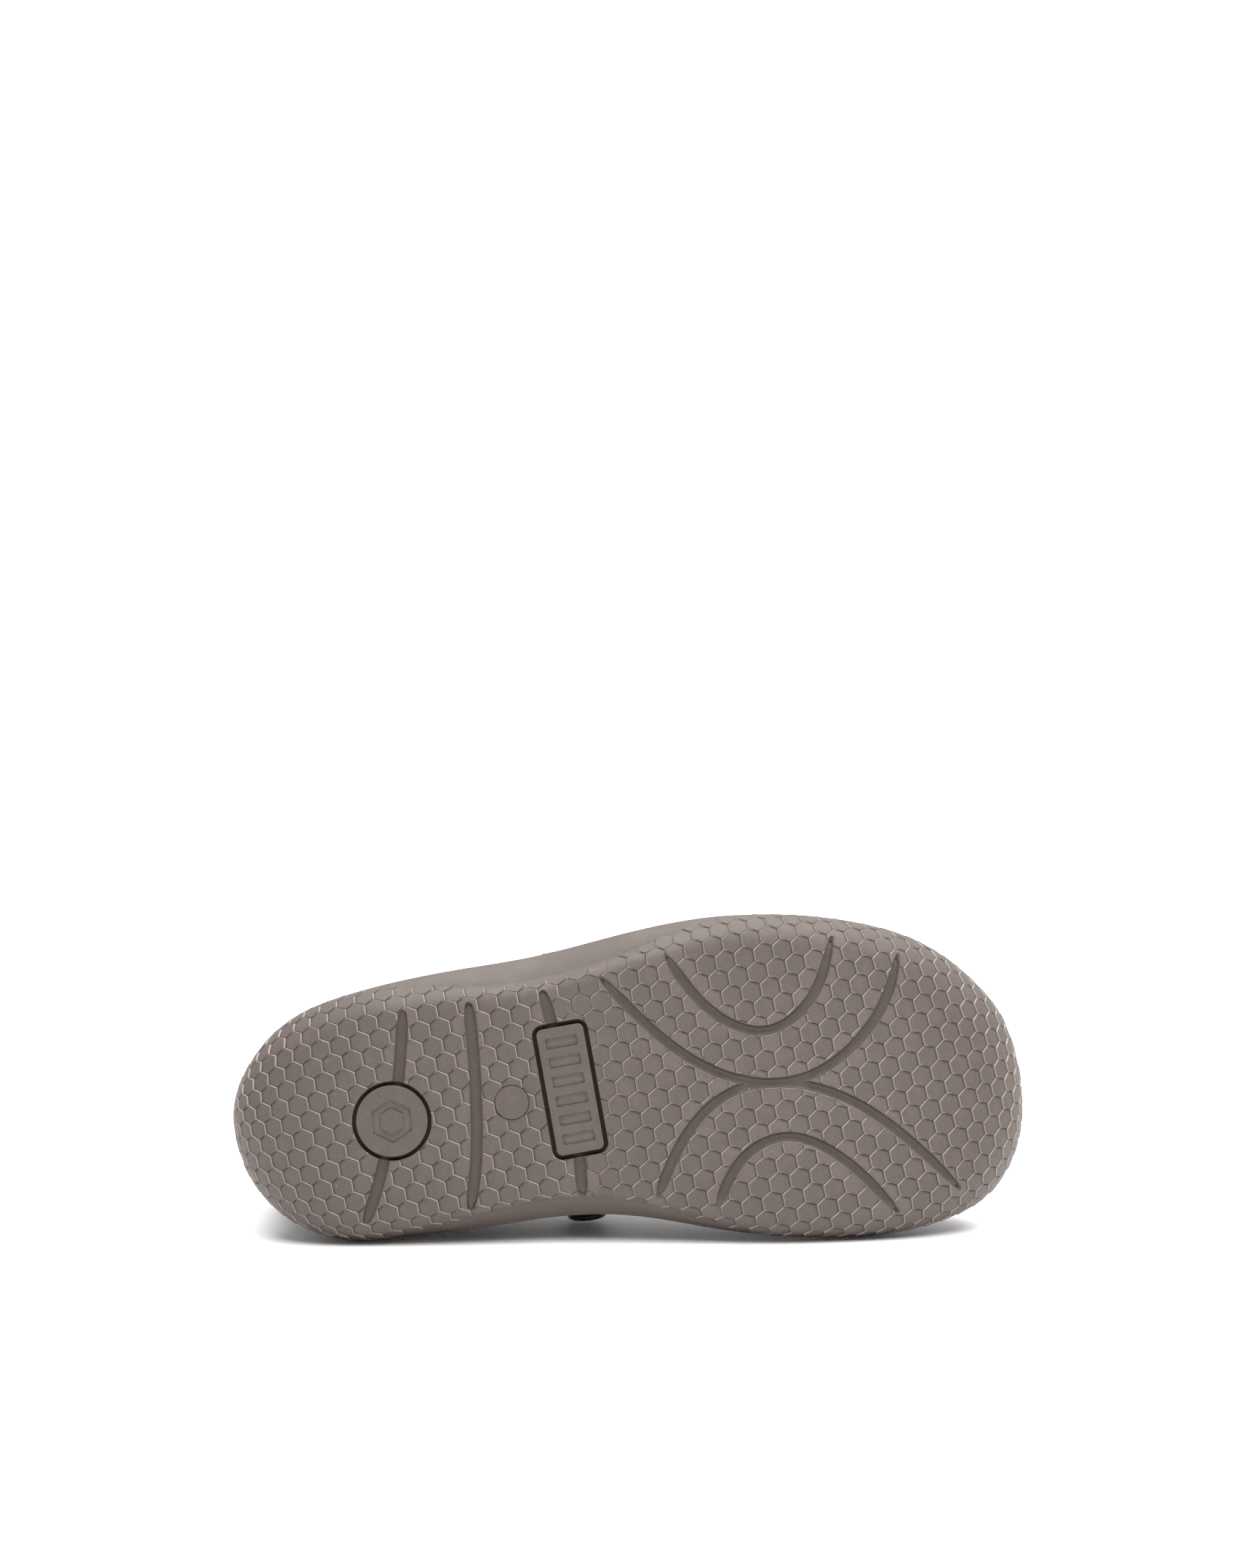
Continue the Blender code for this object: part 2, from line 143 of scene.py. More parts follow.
def spline(knots, values, at):
    knots, values, at = np.asarray(knots, float), np.asarray(values, float), np.asarray(at, float)
    step = np.diff(knots)
    rise = np.diff(values, axis=0) / step.reshape((-1,) + (1,) * (values.ndim - 1))
    count = len(knots)
    system, right = np.eye(count), np.zeros_like(values)
    for row in range(1, count - 1):
        system[row, row - 1:row + 2] = step[row - 1], 2 * (step[row - 1] + step[row]), step[row]
        right[row] = 6 * (rise[row] - rise[row - 1])
    bend = np.linalg.solve(system, right)
    span = np.clip(np.searchsorted(knots, at) - 1, 0, count - 2)
    before, after, width = at - knots[span], knots[span + 1] - at, step[span]
    if values.ndim > 1:
        before, after, width = before[:, None], after[:, None], width[:, None]
    return ((bend[span] * after ** 3 + bend[span + 1] * before ** 3) / (6 * width)
            + (values[span] / width - bend[span] * width / 6) * after
            + (values[span + 1] / width - bend[span + 1] * width / 6) * before)


# the last: the outline of the sole and the collar, a row for each section
lastSize = dict(length=193.0, toeSpring=11.0, springStart=0.66, springPower=1.5, archLift=0.8,
                archFrom=0.30, archTo=0.54, coveFrom=0.17, coveTo=0.66)
soleColumns = ("station", "outer", "inner", "outerEdge", "innerEdge", "rim")
soleSections = (
    (0.00, 0.5, -0.5, 10.0, 10.0, 15.0),
    (0.02, 12.8, 14.6, 10.0, 10.0, 15.0),
    (0.05, 20.0, 22.0, 10.0, 9.5, 14.8),
    (0.10, 26.3, 28.1, 9.5, 8.5, 14.4),
    (0.15, 29.3, 30.4, 9.2, 8.0, 14.0),
    (0.20, 31.1, 30.4, 9.2, 8.0, 13.6),
    (0.30, 33.4, 29.8, 9.8, 8.2, 12.8),
    (0.40, 35.1, 28.7, 10.4, 8.4, 12.5),
    (0.50, 38.4, 30.3, 9.4, 7.8, 12.5),
    (0.60, 40.8, 35.1, 8.2, 7.0, 12.5),
    (0.70, 40.4, 38.6, 7.8, 6.8, 12.6),
    (0.80, 36.8, 40.0, 8.2, 7.2, 13.0),
    (0.90, 28.2, 37.4, 9.2, 8.6, 13.6),
    (0.95, 19.2, 32.5, 9.8, 9.4, 13.9),
    (0.98, 10.8, 25.2, 10.0, 10.0, 14.0),
    (1.00, -8.3, 8.3, 10.0, 10.0, 14.0),
)
collarColumns = ("station", "along", "outer", "inner", "height")
collarSections = (
    (0.00, 6.5, 0.5, -0.5, 57.0),
    (0.06, 11.0, 13.5, 13.5, 56.3),
    (0.14, 25.5, 21.0, 20.5, 53.0),
    (0.26, 50.5, 24.5, 23.2, 46.5),
    (0.40, 77.0, 25.5, 22.6, 42.4),
    (0.55, 100.5, 22.8, 19.6, 41.6),
    (0.70, 114.0, 16.0, 14.0, 42.5),
    (0.86, 121.0, 8.2, 8.6, 43.6),
    (1.00, 123.0, -0.6, 0.6, 44.0),
)


def aroundFoot(rows, columns, outer, inner, outerSign=1.0):
    # runs heel, outer side, toe and back along the inner side
    table = np.array(rows)
    angles = np.arccos(1 - 2 * table[:, 0])
    outerValues = outerSign * table[:, columns.index(outer)]
    innerValues = table[:, columns.index(inner)]
    angles = np.concatenate([angles, 2 * math.pi - angles[-2:0:-1]])
    values = np.concatenate([outerValues, innerValues[-2:0:-1]])
    full = 2 * math.pi
    knots = np.concatenate([angles - full, angles, angles + full])
    return lambda at: spline(knots, np.tile(values, 3), np.mod(at, full))


outlineY = aroundFoot(soleSections, soleColumns, "outer", "inner", -1.0)
edgeWidth = aroundFoot(soleSections, soleColumns, "outerEdge", "innerEdge")
rimHeight = aroundFoot(soleSections, soleColumns, "rim", "rim")
collarX = aroundFoot(collarSections, collarColumns, "along", "along")
collarY = aroundFoot(collarSections, collarColumns, "outer", "inner", -1.0)
collarZ = aroundFoot(collarSections, collarColumns, "height", "height")


def hill(station, start, end):
    return np.sin(math.pi * np.clip((station - start) / (end - start), 0, 1)) ** 2


def underside(x):
    station = x / lastSize["length"]
    ahead = np.clip((station - lastSize["springStart"]) / (1 - lastSize["springStart"]), 0, 1.2)
    arch = lastSize["archLift"] * hill(station, lastSize["archFrom"], lastSize["archTo"])
    return lastSize["toeSpring"] * ahead ** lastSize["springPower"] + arch


def outline(angle):
    return np.stack([lastSize["length"] / 2 * (1 - np.cos(angle)), outlineY(angle)], axis=-1)


def outlineNormal(angle):
    step = outline(angle + 1e-4) - outline(angle - 1e-4)
    return unit(np.stack([step[:, 1], -step[:, 0]], axis=-1))


def coveShare(angle):
    return hill(outline(angle)[:, 0] / lastSize["length"], lastSize["coveFrom"], lastSize["coveTo"]) ** 0.5


# edge of the sole: a round one, and the cove in the waist with its crease
coveRows = ((0, 0.00, 0.00), (15, 0.16, 0.02), (30, 0.29, 0.10), (45, 0.39, 0.25), (60, 0.46, 0.43),
            (75, 0.74, 0.68), (90, 1.00, 1.00))
creaseRow = 4


def edgeShape(share, cove):
    # how far out and up the edge is, as parts of its width and height
    turn = np.asarray(share, float) * 90
    rows = np.array(coveRows, float)
    low, high = rows[:creaseRow + 1], rows[creaseRow:]
    coveOut, coveUp = (np.where(turn < low[-1, 0], spline(low[:, 0], low[:, k], turn),
                                spline(high[:, 0], high[:, k], turn)) for k in (1, 2))
    bend = np.radians(turn)
    return (1 - cove) * np.sin(bend) + cove * coveOut, (1 - cove) * (1 - np.cos(bend)) + cove * coveUp


soleSize = dict(around=288, edgeSteps=30, edgeSamples=41, edgeRise=0.66, rimLean=0.8, rimWall=2.4, rimRound=0.5,
                floorInset=6.0, floor=4.2, sink=0.45, treadEnd=1.10, coveTreadEnd=0.68, fade=0.34, coveFade=0.20,
                smooth=32)


def treadShare(share, cove):
    # 1 where the six-sided tread is full, 0 on the plain side of the sole
    end = soleSize["treadEnd"] + (soleSize["coveTreadEnd"] - soleSize["treadEnd"]) * cove
    fade = soleSize["fade"] + (soleSize["coveFade"] - soleSize["fade"]) * cove
    part = np.clip((end - share) / fade, 0, 1)
    return part * part * (3 - 2 * part)


def ringAt(angle, inset, up):
    place = outline(angle) - outlineNormal(angle) * np.reshape(inset * np.ones_like(angle), (-1, 1))
    return np.column_stack([place, underside(place[:, 0]) + up])


def loft(name, rings, partner=0):
    # walls between the rings, and strips across both ends
    count, size = len(rings), len(rings[0])
    faces = []
    for row in range(count - 1):
        low, high = row * size, (row + 1) * size
        for k in range(size):
            after = (k + 1) % size
            faces.append((low + k, low + after, high + after, high + k))
    top = (count - 1) * size
    for k in range((partner + size) // 2 - size // 2, (partner + size) // 2):
        strip = list(dict.fromkeys((k, k + 1, (partner - k - 1) % size, (partner - k) % size)))
        if len(strip) > 2:
            faces.append(tuple(reversed(strip)))
            faces.append(tuple(top + index for index in strip))
    return newPiece(name, toWorld(np.concatenate(rings)), faces)


def makeSoleBody():
    angle = np.linspace(0, 2 * math.pi, soleSize["around"], endpoint=False)
    cove, width = coveShare(angle), edgeWidth(angle)
    rim, high = rimHeight(angle), rimHeight(angle) * soleSize["edgeRise"]
    shares = np.linspace(0, 1, soleSize["edgeSteps"])
    outs, ups = zip(*(edgeShape(np.full_like(angle, share), cove) for share in shares))
    outs, ups = np.array(outs) * width, np.array(ups) * high
    alongOut, alongUp = np.gradient(outs, axis=0), np.gradient(ups, axis=0)
    size = np.hypot(alongOut, alongUp)
    drop = soleSize["sink"] * np.array([treadShare(np.full_like(angle, share), cove) for share in shares])
    outs, ups = outs - drop * alongUp / size, ups + drop * alongOut / size
    rings = [ringAt(angle, width - out, up) for out, up in zip(outs, ups)]
    lean, wall, soft = soleSize["rimLean"], soleSize["rimWall"], soleSize["rimRound"]
    for start, way, turns in ((lean, soft, (0, 30, 60, 90)), (lean + wall, -soft, (90, 60, 30, 0))):
        for bend in map(math.radians, turns):
            rings.append(ringAt(angle, start + way * (1 - math.cos(bend)), rim - soft * (1 - math.sin(bend))))
    rings.append(ringAt(angle, soleSize["floorInset"], soleSize["floor"]))
    return loft("soleBody", rings)


# the tread: six-sided scales on a lattice that is wrapped up the edges of the sole
treadSize = dict(pitch=4.92, turn=4.6, rows=60, columns=40, reach=(-8, 208, 62), anchor=(66.9, 8.6),
                 bendFrom=100.0, bendPerMm=0.075, unroll=(-20, 240, 1301), squeeze=0.24, squeezeFrom=5.0,
                 pastEnd=12, step=0.22, gap=0.02, lowInset=0.10, highInset=0.34, lowDrop=0.10, highDrop=0.46,
                 leastDrop=0.2, root=0.52, rootInset=0.12, flipAt=86.0, flipOver=5.0, tiltTurn=11.0,
                 rubFrom=0.6, rubTo=0.9, endSink=1.1, endShare=0.32, leastFull=0.02, besideGroove=3.3,
                 warmOver=0.6)
edgeCount = 1440


def readEdgeTable():
    angle = np.linspace(0, 2 * math.pi, edgeCount, endpoint=False)
    normal = outlineNormal(angle)
    flat = outline(angle) - normal * edgeWidth(angle)[:, None]
    return dict(flat=flat, normal=normal, width=edgeWidth(angle), cove=coveShare(angle),
                high=rimHeight(angle) * soleSize["edgeRise"])


edgeTable = readEdgeTable()


def lookUp(column, index):
    values = edgeTable[column]
    low = np.floor(index).astype(int)
    part = index - low
    if values.ndim > 1:
        part = part[:, None]
    return values[low % edgeCount] * (1 - part) + values[(low + 1) % edgeCount] * part


def wrapTread(plan):
    # places points of the unrolled tread on the sole: place, normal and how full the tread is there
    flat = edgeTable["flat"]
    nearest = np.concatenate([np.argmin(((part[:, None] - flat[None]) ** 2).sum(axis=2), axis=1)
                              for part in np.array_split(plan, max(1, len(plan) // 1500))])
    along = np.roll(flat, -1, axis=0) - np.roll(flat, 1, axis=0)
    away = plan - flat[nearest]
    slide = 2 * (away * along[nearest]).sum(axis=1) / (along[nearest] ** 2).sum(axis=1)
    index = nearest + np.clip(slide, -1, 1)
    base, normal = lookUp("flat", index), unit(lookUp("normal", index))
    straight = ((plan - base) * normal).sum(axis=1)
    # the scales get narrower round the heel and the toe
    near = np.maximum(straight + treadSize["squeezeFrom"], 0)
    share = treadSize["squeeze"] * np.cos(2 * math.pi * index / edgeCount) ** 2
    past = straight - share * near ** 2 / (near + treadSize["squeezeFrom"])
    width, high, cove = lookUp("width", index), lookUp("high", index), lookUp("cove", index)
    shares = np.linspace(0, 1, soleSize["edgeSamples"])
    outs, ups = zip(*(edgeShape(np.full_like(past, share), cove) for share in shares))
    outs, ups = np.array(outs) * width, np.array(ups) * high
    alongOut, alongUp = np.gradient(outs, axis=0), np.gradient(ups, axis=0)
    run = np.concatenate([np.zeros((1, len(past))),
                          np.cumsum(np.hypot(np.diff(outs, axis=0), np.diff(ups, axis=0)), axis=0)])
    step = np.clip((run < past).sum(axis=0) - 1, 0, len(shares) - 2)
    column = np.arange(len(past))
    part = (past - run[step, column]) / (run[step + 1, column] - run[step, column])
    part = np.clip(part, 0, treadSize["pastEnd"])

    def between(table):
        return table[step, column] * (1 - part) + table[step + 1, column] * part

    outside = past > 0
    out, up = np.where(outside, between(outs), 0), np.where(outside, between(ups), 0)
    goOut, goUp = np.where(outside, between(alongOut), 1), np.where(outside, between(alongUp), 0)
    place = np.where(outside[:, None], base + normal * out[:, None],
                     plan + normal * (past - straight)[:, None])
    slope = (underside(place[:, 0] + 0.2) - underside(place[:, 0] - 0.2)) / 0.4
    facing = np.column_stack([normal * goUp[:, None], -goOut])
    facing[:, 0] += slope * np.abs(goOut)
    facing = unit(facing)
    share = np.where(outside, shares[step] + part * (shares[1] - shares[0]), 0)
    return np.column_stack([place, underside(place[:, 0]) + up]), facing, treadShare(share, cove)


def unrolled(points):
    # bends the straight lattice towards the outer side over the forefoot and takes up the toe spring
    along, side = points[:, 0], points[:, 1]
    radius = 1 / math.radians(treadSize["bendPerMm"])
    turn = np.maximum(along - treadSize["bendFrom"], 0) / radius
    x = np.where(turn > 0, treadSize["bendFrom"] + (radius + side) * np.sin(turn), along)
    y = np.where(turn > 0, (radius + side) * np.cos(turn) - radius, side)
    reach = np.linspace(*treadSize["unroll"])
    run = reach[0] + np.concatenate([[0], np.cumsum(np.hypot(np.diff(reach), np.diff(underside(reach))))])
    return np.column_stack([np.interp(x, run, reach), y])


def scalePattern():
    # one scale: middle, inner six, then rings of twelve for top, chamfer and root
    apothem = treadSize["pitch"] / 2
    corner = apothem / math.cos(math.pi / 6)
    twelve = []
    for k in range(12):
        reach = apothem if k % 2 == 0 else corner
        twelve.append((reach * math.cos(k * math.pi / 6), reach * math.sin(k * math.pi / 6)))
    faces = []
    for k in range(6):
        after = (k + 1) % 6
        left, middle, right = 7 + 2 * k + 1, 7 + (2 * k + 2) % 12, 7 + (2 * k + 3) % 12
        faces += [(0, 1 + after, 1 + k), (1 + k, middle, left),
                  (1 + k, 1 + after, middle), (1 + after, right, middle)]
    for k in range(12):
        after = (k + 1) % 12
        faces += [(7 + k, 7 + after, 19 + after, 19 + k), (19 + k, 19 + after, 31 + after, 31 + k)]
    faces.append(tuple(range(31, 43)))
    return np.array(twelve), faces


def sideShare(points, side):
    # 1 on the edge of a scale that faces one way along the shoe and on the next one up, less away from them
    along = points[:, 0] * side
    return np.maximum(along, along / 2 - points[:, 1] * math.sqrt(0.75)) / (treadSize["pitch"] / 2)


def leanOf(points, tilt):
    # from -1 on the low side of a scale to 1 on its high side
    turn = math.radians(treadSize["tiltTurn"])
    return (points[:, 0] * tilt * math.cos(turn) - points[:, 1] * math.sin(turn)) / (treadSize["pitch"] / 2)


def scaleShape(twelve, tilt):
    # plan points, fall below the tilted top and painted highlight of one scale that is high on the side of its
    # tilt
    apothem = treadSize["pitch"] / 2
    lean = np.clip((1 + leanOf(twelve, tilt)) / 2, 0, 1) ** 2
    # painted highlight: the edge on the high side of a scale and the next one, which faces up, get the light
    # colour
    highlightShare = (sideShare(twelve, tilt) - treadSize["rubFrom"]) / (treadSize["rubTo"] - treadSize["rubFrom"])
    inset = treadSize["lowInset"] + (treadSize["highInset"] - treadSize["lowInset"]) * lean
    drop = treadSize["lowDrop"] + (treadSize["highDrop"] - treadSize["lowDrop"]) * lean
    edge = twelve * (1 - treadSize["gap"] / apothem)
    top = twelve * (1 - (treadSize["gap"] + inset) / apothem)[:, None]
    root = twelve * (1 - treadSize["rootInset"] / apothem)
    flat = np.concatenate([[(0, 0)], twelve[1::2] * 0.5, top, edge, root])
    fall = np.concatenate([np.zeros(19), drop, np.full(12, treadSize["root"])])
    rub = np.concatenate([np.zeros(19), np.clip(highlightShare, 0, 1), np.zeros(12)])
    return flat, fall, rub


def makeScales(group):
    twelve, faces = scalePattern()
    turn = math.radians(treadSize["turn"])
    rowWay = np.array((math.cos(turn), -math.sin(turn)))
    crossWay = np.array((math.sin(turn), math.cos(turn)))
    centres = []
    rows, columns = treadSize["rows"], treadSize["columns"]
    for i in range(-rows, rows):
        for j in range(-columns, columns):
            spot = rowWay * (i + j * 0.5) + crossWay * j * math.sqrt(0.75)
            if (i - j) % 3 == group:    # no two of a group are neighbours
                centres.append(spot * treadSize["pitch"] + np.array(treadSize["anchor"]))
    centres = np.array(centres)
    behind, ahead, beside = treadSize["reach"]
    centres = centres[(centres[:, 0] > behind) & (centres[:, 0] < ahead) & (np.abs(centres[:, 1]) < beside)]
    middles, full = wrapTread(unrolled(centres))[::2]
    kept = full > treadSize["leastFull"]
    centres, middles = centres[kept], middles[kept]
    tilts = -np.tanh((centres[:, 0] - treadSize["flipAt"]) / treadSize["flipOver"])
    shapes = [scaleShape(twelve, tilt) for tilt in tilts]
    flat, fall, rub = (np.concatenate([shape[k] for shape in shapes]) for k in range(3))
    size = len(flat) // len(centres)
    cells = np.repeat(centres, size, axis=0) + flat[:, :1] * rowWay + flat[:, 1:] * crossWay
    place, facing, full = wrapTread(unrolled(cells))
    tilts = np.repeat(tilts, size)
    under = treadSize["endSink"] * np.clip(1 - full / treadSize["endShare"], 0, 1)
    least = treadSize["leastDrop"]
    top = treadSize["step"] * leanOf(flat, tilts) * full - fall * (least + (1 - least) * full)
    height = np.where(fall < treadSize["root"], top, -treadSize["root"]) - under
    points = toWorld(place + facing * height[:, None])
    allFaces = [tuple(k + cell * size for k in face) for cell in range(len(centres)) for face in faces]
    piece = newPiece("scaleGroup", points, allFaces)
    lines = np.concatenate([grooveLine(points) for points in grooveLines.values()])
    apart = np.array([np.linalg.norm(lines - middle[:2], axis=1).min() for middle in middles])
    warm = np.repeat(np.clip((treadSize["besideGroove"] - apart) / treadSize["warmOver"], 0, 1), size)
    # the shade mark is painted shade in the low colour, on the low side of each scale below the step of its
    # neighbour
    mark(piece, shade=sideShare(flat, -tilts) * full, rub=rub * full ** 3, warm=warm)
    print("tread scales:", len(centres))
    return piece


# channels, and the pockets of the plain plates
grooveLines = {
    "heelOuter": ((43.4, -23.8), (42.4, -16.3), (41.1, -8.4)),
    "heelInner": ((36.1, 10.6), (33.7, 17.5), (30.8, 24.4)),
    "waistRear": ((59.5, -24.4), (59.7, -14.8), (59.3, -1.1), (58.3, 11.5), (56.1, 23.2)),
    "waistOuter": ((77.7, -25.8), (78.4, -22.5), (79.1, -19.2)),
    "waistInner": ((83.1, 14.4), (83.1, 18.2), (83.1, 22.3)),
    "ballOuterLarge": ((92.2, -28.3), (106.9, -11.6), (121.4, -2.2), (137.9, -0.4), (152.6, -8.2),
                       (162.2, -21.9), (164.0, -27.4)),
    "ballOuterSmall": ((108.2, -32.4), (118.9, -17.6), (130.6, -12.8), (141.9, -19.4), (148.1, -33.0)),
    "ballInnerLarge": ((101.5, 24.3), (108.8, 11.4), (120.5, 1.6), (133.9, 0.2), (148.9, 5.5), (163.4, 17.2),
                       (174.2, 29.4)),
    "ballInnerSmall": ((115.7, 28.1), (123.0, 17.1), (132.8, 13.3), (144.0, 17.8), (158.5, 33.4)),
}
grooveSize = dict(radius=1.32, depth=1.15, sides=24, step=1.2, capTurns=(18, 36, 54, 72, 84), tip=0.5,
                  bluntTip=0.72, tipReach=0.9, runPower=0.7, rearSize=1.12)
# length of the tapered run at the start and at the end of each
grooveRuns = dict(heelOuter=(2.5, 0), heelInner=(0, 2.5), waistRear=(2.5, 2.5), waistOuter=(2, 0),
                  waistInner=(0, 2), ballOuterLarge=(6, 7), ballOuterSmall=(5, 8), ballInnerLarge=(3, 8),
                  ballInnerSmall=(3, 7))
plateSize = dict(ringCentre=(38.7, 1.3), ringOuter=9.6, ringInner=8.66, frameCentre=(82.2, -2.6),
                 frameTurn=-5.4, frameOuter=(13.66, 33.06), frameInner=(11.54, 30.94), corner=2.0, cornerGap=0.6,
                 pocketDeep=1.35, rootDeep=1.55, proud=0.12, soft=0.18, recess=0.5, cutTop=3.0, wallTilt=0.3,
                 smooth=40)
discSize = dict(centre=(67.9, -0.7), radius=4.05, gap=0.16, pocketDeep=0.62, rootDeep=0.9, proud=0.34, soft=0.10)


def grooveLine(points):
    points = np.array(points)
    run = runAlong(points)
    return spline(run, points, np.linspace(0, run[-1], max(6, round(run[-1] / grooveSize["step"]))))


def outsideHeight(places):
    # height of the sole's outside at plan points, on the flat tread or on its edge
    heights = []
    shares = np.linspace(0, 1, soleSize["edgeSamples"])
    for place in places:
        near = np.argmin(((edgeTable["flat"] - place) ** 2).sum(axis=1))
        past = (place - edgeTable["flat"][near]) @ edgeTable["normal"][near]
        out, up = edgeShape(shares, edgeTable["cove"][near])
        lift = np.interp(past, out * edgeTable["width"][near], up * edgeTable["high"][near])
        heights.append(float(underside(place[0])) + lift)
    return np.array(heights)


def grooveShare(name):
    # size of a channel along its line, less at its free ends
    line = grooveLine(grooveLines[name])
    run = runAlong(line)
    share, rear = np.ones(len(line)), name.startswith(("heel", "waist"))
    tip = grooveSize["bluntTip" if rear else "tip"]
    for length, away in zip(grooveRuns[name], (run, run[-1] - run)):
        if length:
            share = np.minimum(share, tip + (1 - tip) * np.clip(away / length, 0, 1) ** grooveSize["runPower"])
    return share * (grooveSize["rearSize"] if rear else 1)


def makeGroove(name):
    line, share = grooveLine(grooveLines[name]), grooveShare(name)
    radius = grooveSize["radius"]
    ahead = unit(np.gradient(line, axis=0))
    caps = np.radians(grooveSize["capTurns"])
    reach = radius * share * (1 + grooveSize["tipReach"] * (1 - share) / (1 - grooveSize["tip"]))
    before = [line[0] - ahead[0] * reach[0] * math.sin(turn) for turn in caps[::-1]]
    after = [line[-1] + ahead[-1] * reach[-1] * math.sin(turn) for turn in caps]
    places = np.concatenate([before, line, after])
    ways = np.concatenate([[ahead[0]] * len(caps), ahead, [ahead[-1]] * len(caps)])
    share = np.concatenate([[share[0]] * len(caps), share, [share[-1]] * len(caps)])
    sizes = np.concatenate([np.cos(caps[::-1]), np.ones(len(line)), np.cos(caps)]) * radius * share
    middles = outsideHeight(places) - (radius - grooveSize["depth"]) * share
    turns = 2 * math.pi * (np.arange(grooveSize["sides"]) + 0.5) / grooveSize["sides"]
    rings = []
    for place, way, size, middle in zip(places, ways, sizes, middles):
        flat = place + size * np.outer(np.cos(turns), np.array((-way[1], way[0])))
        rings.append(np.column_stack([flat, middle + size * np.sin(turns)]))
    return loft("cut" + name, rings, partner=grooveSize["sides"] - 1)


def treadSeat(spot, turn=0.0):
    # local z points out of the tread, local y to the inner side
    x, y = spot
    place = Matrix.Translation(Vector((x, y, float(underside(np.array(x))))) * mm)
    return shoeFrame @ place @ Matrix.Rotation(math.radians(turn), 4, 'Z') @ Matrix.Rotation(math.pi, 4, 'X')


def roundPlate(name, radius, low, high, spot, sides=72):
    deselectAll()
    bpy.ops.mesh.primitive_cylinder_add(vertices=sides, radius=radius * mm, depth=(high - low) * mm,
                                        location=(0, 0, (high + low) / 2 * mm))
    piece = bpy.context.object
    piece.name = name
    return settle(piece, treadSeat(spot))


def longPlate(name, size, low, high, corner, along=0.0):
    deselectAll()
    bpy.ops.mesh.primitive_cube_add(size=1, location=(0, along * mm, (high + low) / 2 * mm),
                                    scale=(size[0] * mm, size[1] * mm, (high - low) * mm))
    piece = bpy.context.object
    piece.name = name
    bpy.ops.object.transform_apply(location=True, rotation=True, scale=True)
    mode('EDIT')
    bpy.ops.mesh.select_mode(type='EDGE')
    bpy.ops.mesh.select_all(action='DESELECT')
    mode('OBJECT')
    for edge in piece.data.edges:
        first, second = (piece.data.vertices[k].co for k in edge.vertices)
        edge.select = abs(first.z - second.z) > 1e-5
    mode('EDIT')
    bpy.ops.mesh.bevel(offset=corner * mm, segments=8)
    mode('OBJECT')
    return settle(piece, treadSeat(plateSize["frameCentre"], plateSize["frameTurn"]))


def joined(name, pieces):
    deselectAll()
    for piece in pieces:
        piece.select_set(True)
    bpy.context.view_layer.objects.active = pieces[0]
    if len(pieces) > 1:
        bpy.ops.object.join()
    pieces[0].name = name
    return pieces[0]


def cutWith(piece, cutter, way='DIFFERENCE'):
    cut = piece.modifiers.new(cutter.name, 'BOOLEAN')
    cut.operation = way
    cut.solver = 'EXACT'
    cut.material_mode = 'TRANSFER'
    cut.object = cutter
    pick(piece)
    bpy.ops.object.modifier_apply(modifier=cut.name)


# finishes
def startFinish(name, roughness=0.5, specular=0.5):
    material = bpy.data.materials.new(name)
    material.use_nodes = True
    shader = material.node_tree.nodes["Principled BSDF"]
    shader.inputs["Roughness"].default_value = roughness
    shader.inputs["Specular IOR Level"].default_value = specular
    coords = material.node_tree.nodes.new("ShaderNodeTexCoord")
    return material, material.node_tree, shader, coords.outputs["Object"]


def addNode(tree, kind, values, **settings):
    # values are numbers and colours to set, or sockets to link
    node = tree.nodes.new("ShaderNode" + kind)
    for name, value in settings.items():
        setattr(node, name, value)
    for name, value in values.items():
        if isinstance(value, bpy.types.NodeSocket):
            tree.links.new(value, node.inputs[name])
        else:
            node.inputs[name].default_value = (*value, 1) if isinstance(value, tuple) else value
    return node


def noise(tree, coords, scale, detail=3.0, rough=0.55):
    values = {"Scale": scale, "Detail": detail, "Roughness": rough, "Vector": coords}
    return addNode(tree, "TexNoise", values).outputs["Fac"]


def ramp(tree, fac, *stops):
    node = addNode(tree, "ValToRGB", {"Fac": fac})
    for stop, (place, shade) in zip(node.color_ramp.elements, stops):
        stop.position = place
        stop.color = (shade, shade, shade, 1)
    return node.outputs["Color"]


def mapRange(tree, value, fromLow, fromHigh, toLow, toHigh):
    values = {"Value": value, "From Min": fromLow, "From Max": fromHigh, "To Min": toLow, "To Max": toHigh}
    return addNode(tree, "MapRange", values).outputs["Result"]


def mixColour(tree, fac, first, second):
    return addNode(tree, "Mix", {0: fac, 6: first, 7: second}, data_type='RGBA', clamp_factor=True).outputs[2]


def addBump(tree, shader, heights, distance):
    # heights is a list of (socket, strength), one bump on top of the next
    last = {}
    for height, strength in heights:
        values = {"Strength": strength, "Distance": distance, "Height": height, **last}
        last = {"Normal": addNode(tree, "Bump", values).outputs["Normal"]}
    tree.links.new(last["Normal"], shader.inputs["Normal"])


rubberLook = dict(base=(0.1175, 0.0940, 0.0840), plate=(0.1120, 0.0895, 0.0795), warm=(0.154, 0.127, 0.106),
                  low=(0.059, 0.045, 0.039), high=(0.359, 0.310, 0.281), dust=(0.46, 0.45, 0.42),
                  patchTint=(1.14, 1.14, 1.10), groove=(0.140, 0.112, 0.100), channel=(0.042, 0.031, 0.027),
                  # the next dark colour is painted shade for the narrow gaps round the plates
                  pocketShade=(0.045, 0.030, 0.025), heelShade=0.92, heelFrom=-0.075, heelTo=0.03, roughness=0.56,
                  specular=0.30, pocketSpecular=0.08, patchScale=190, grainScale=5200, mottleScale=2300,
                  speckScale=420, waveScale=900)
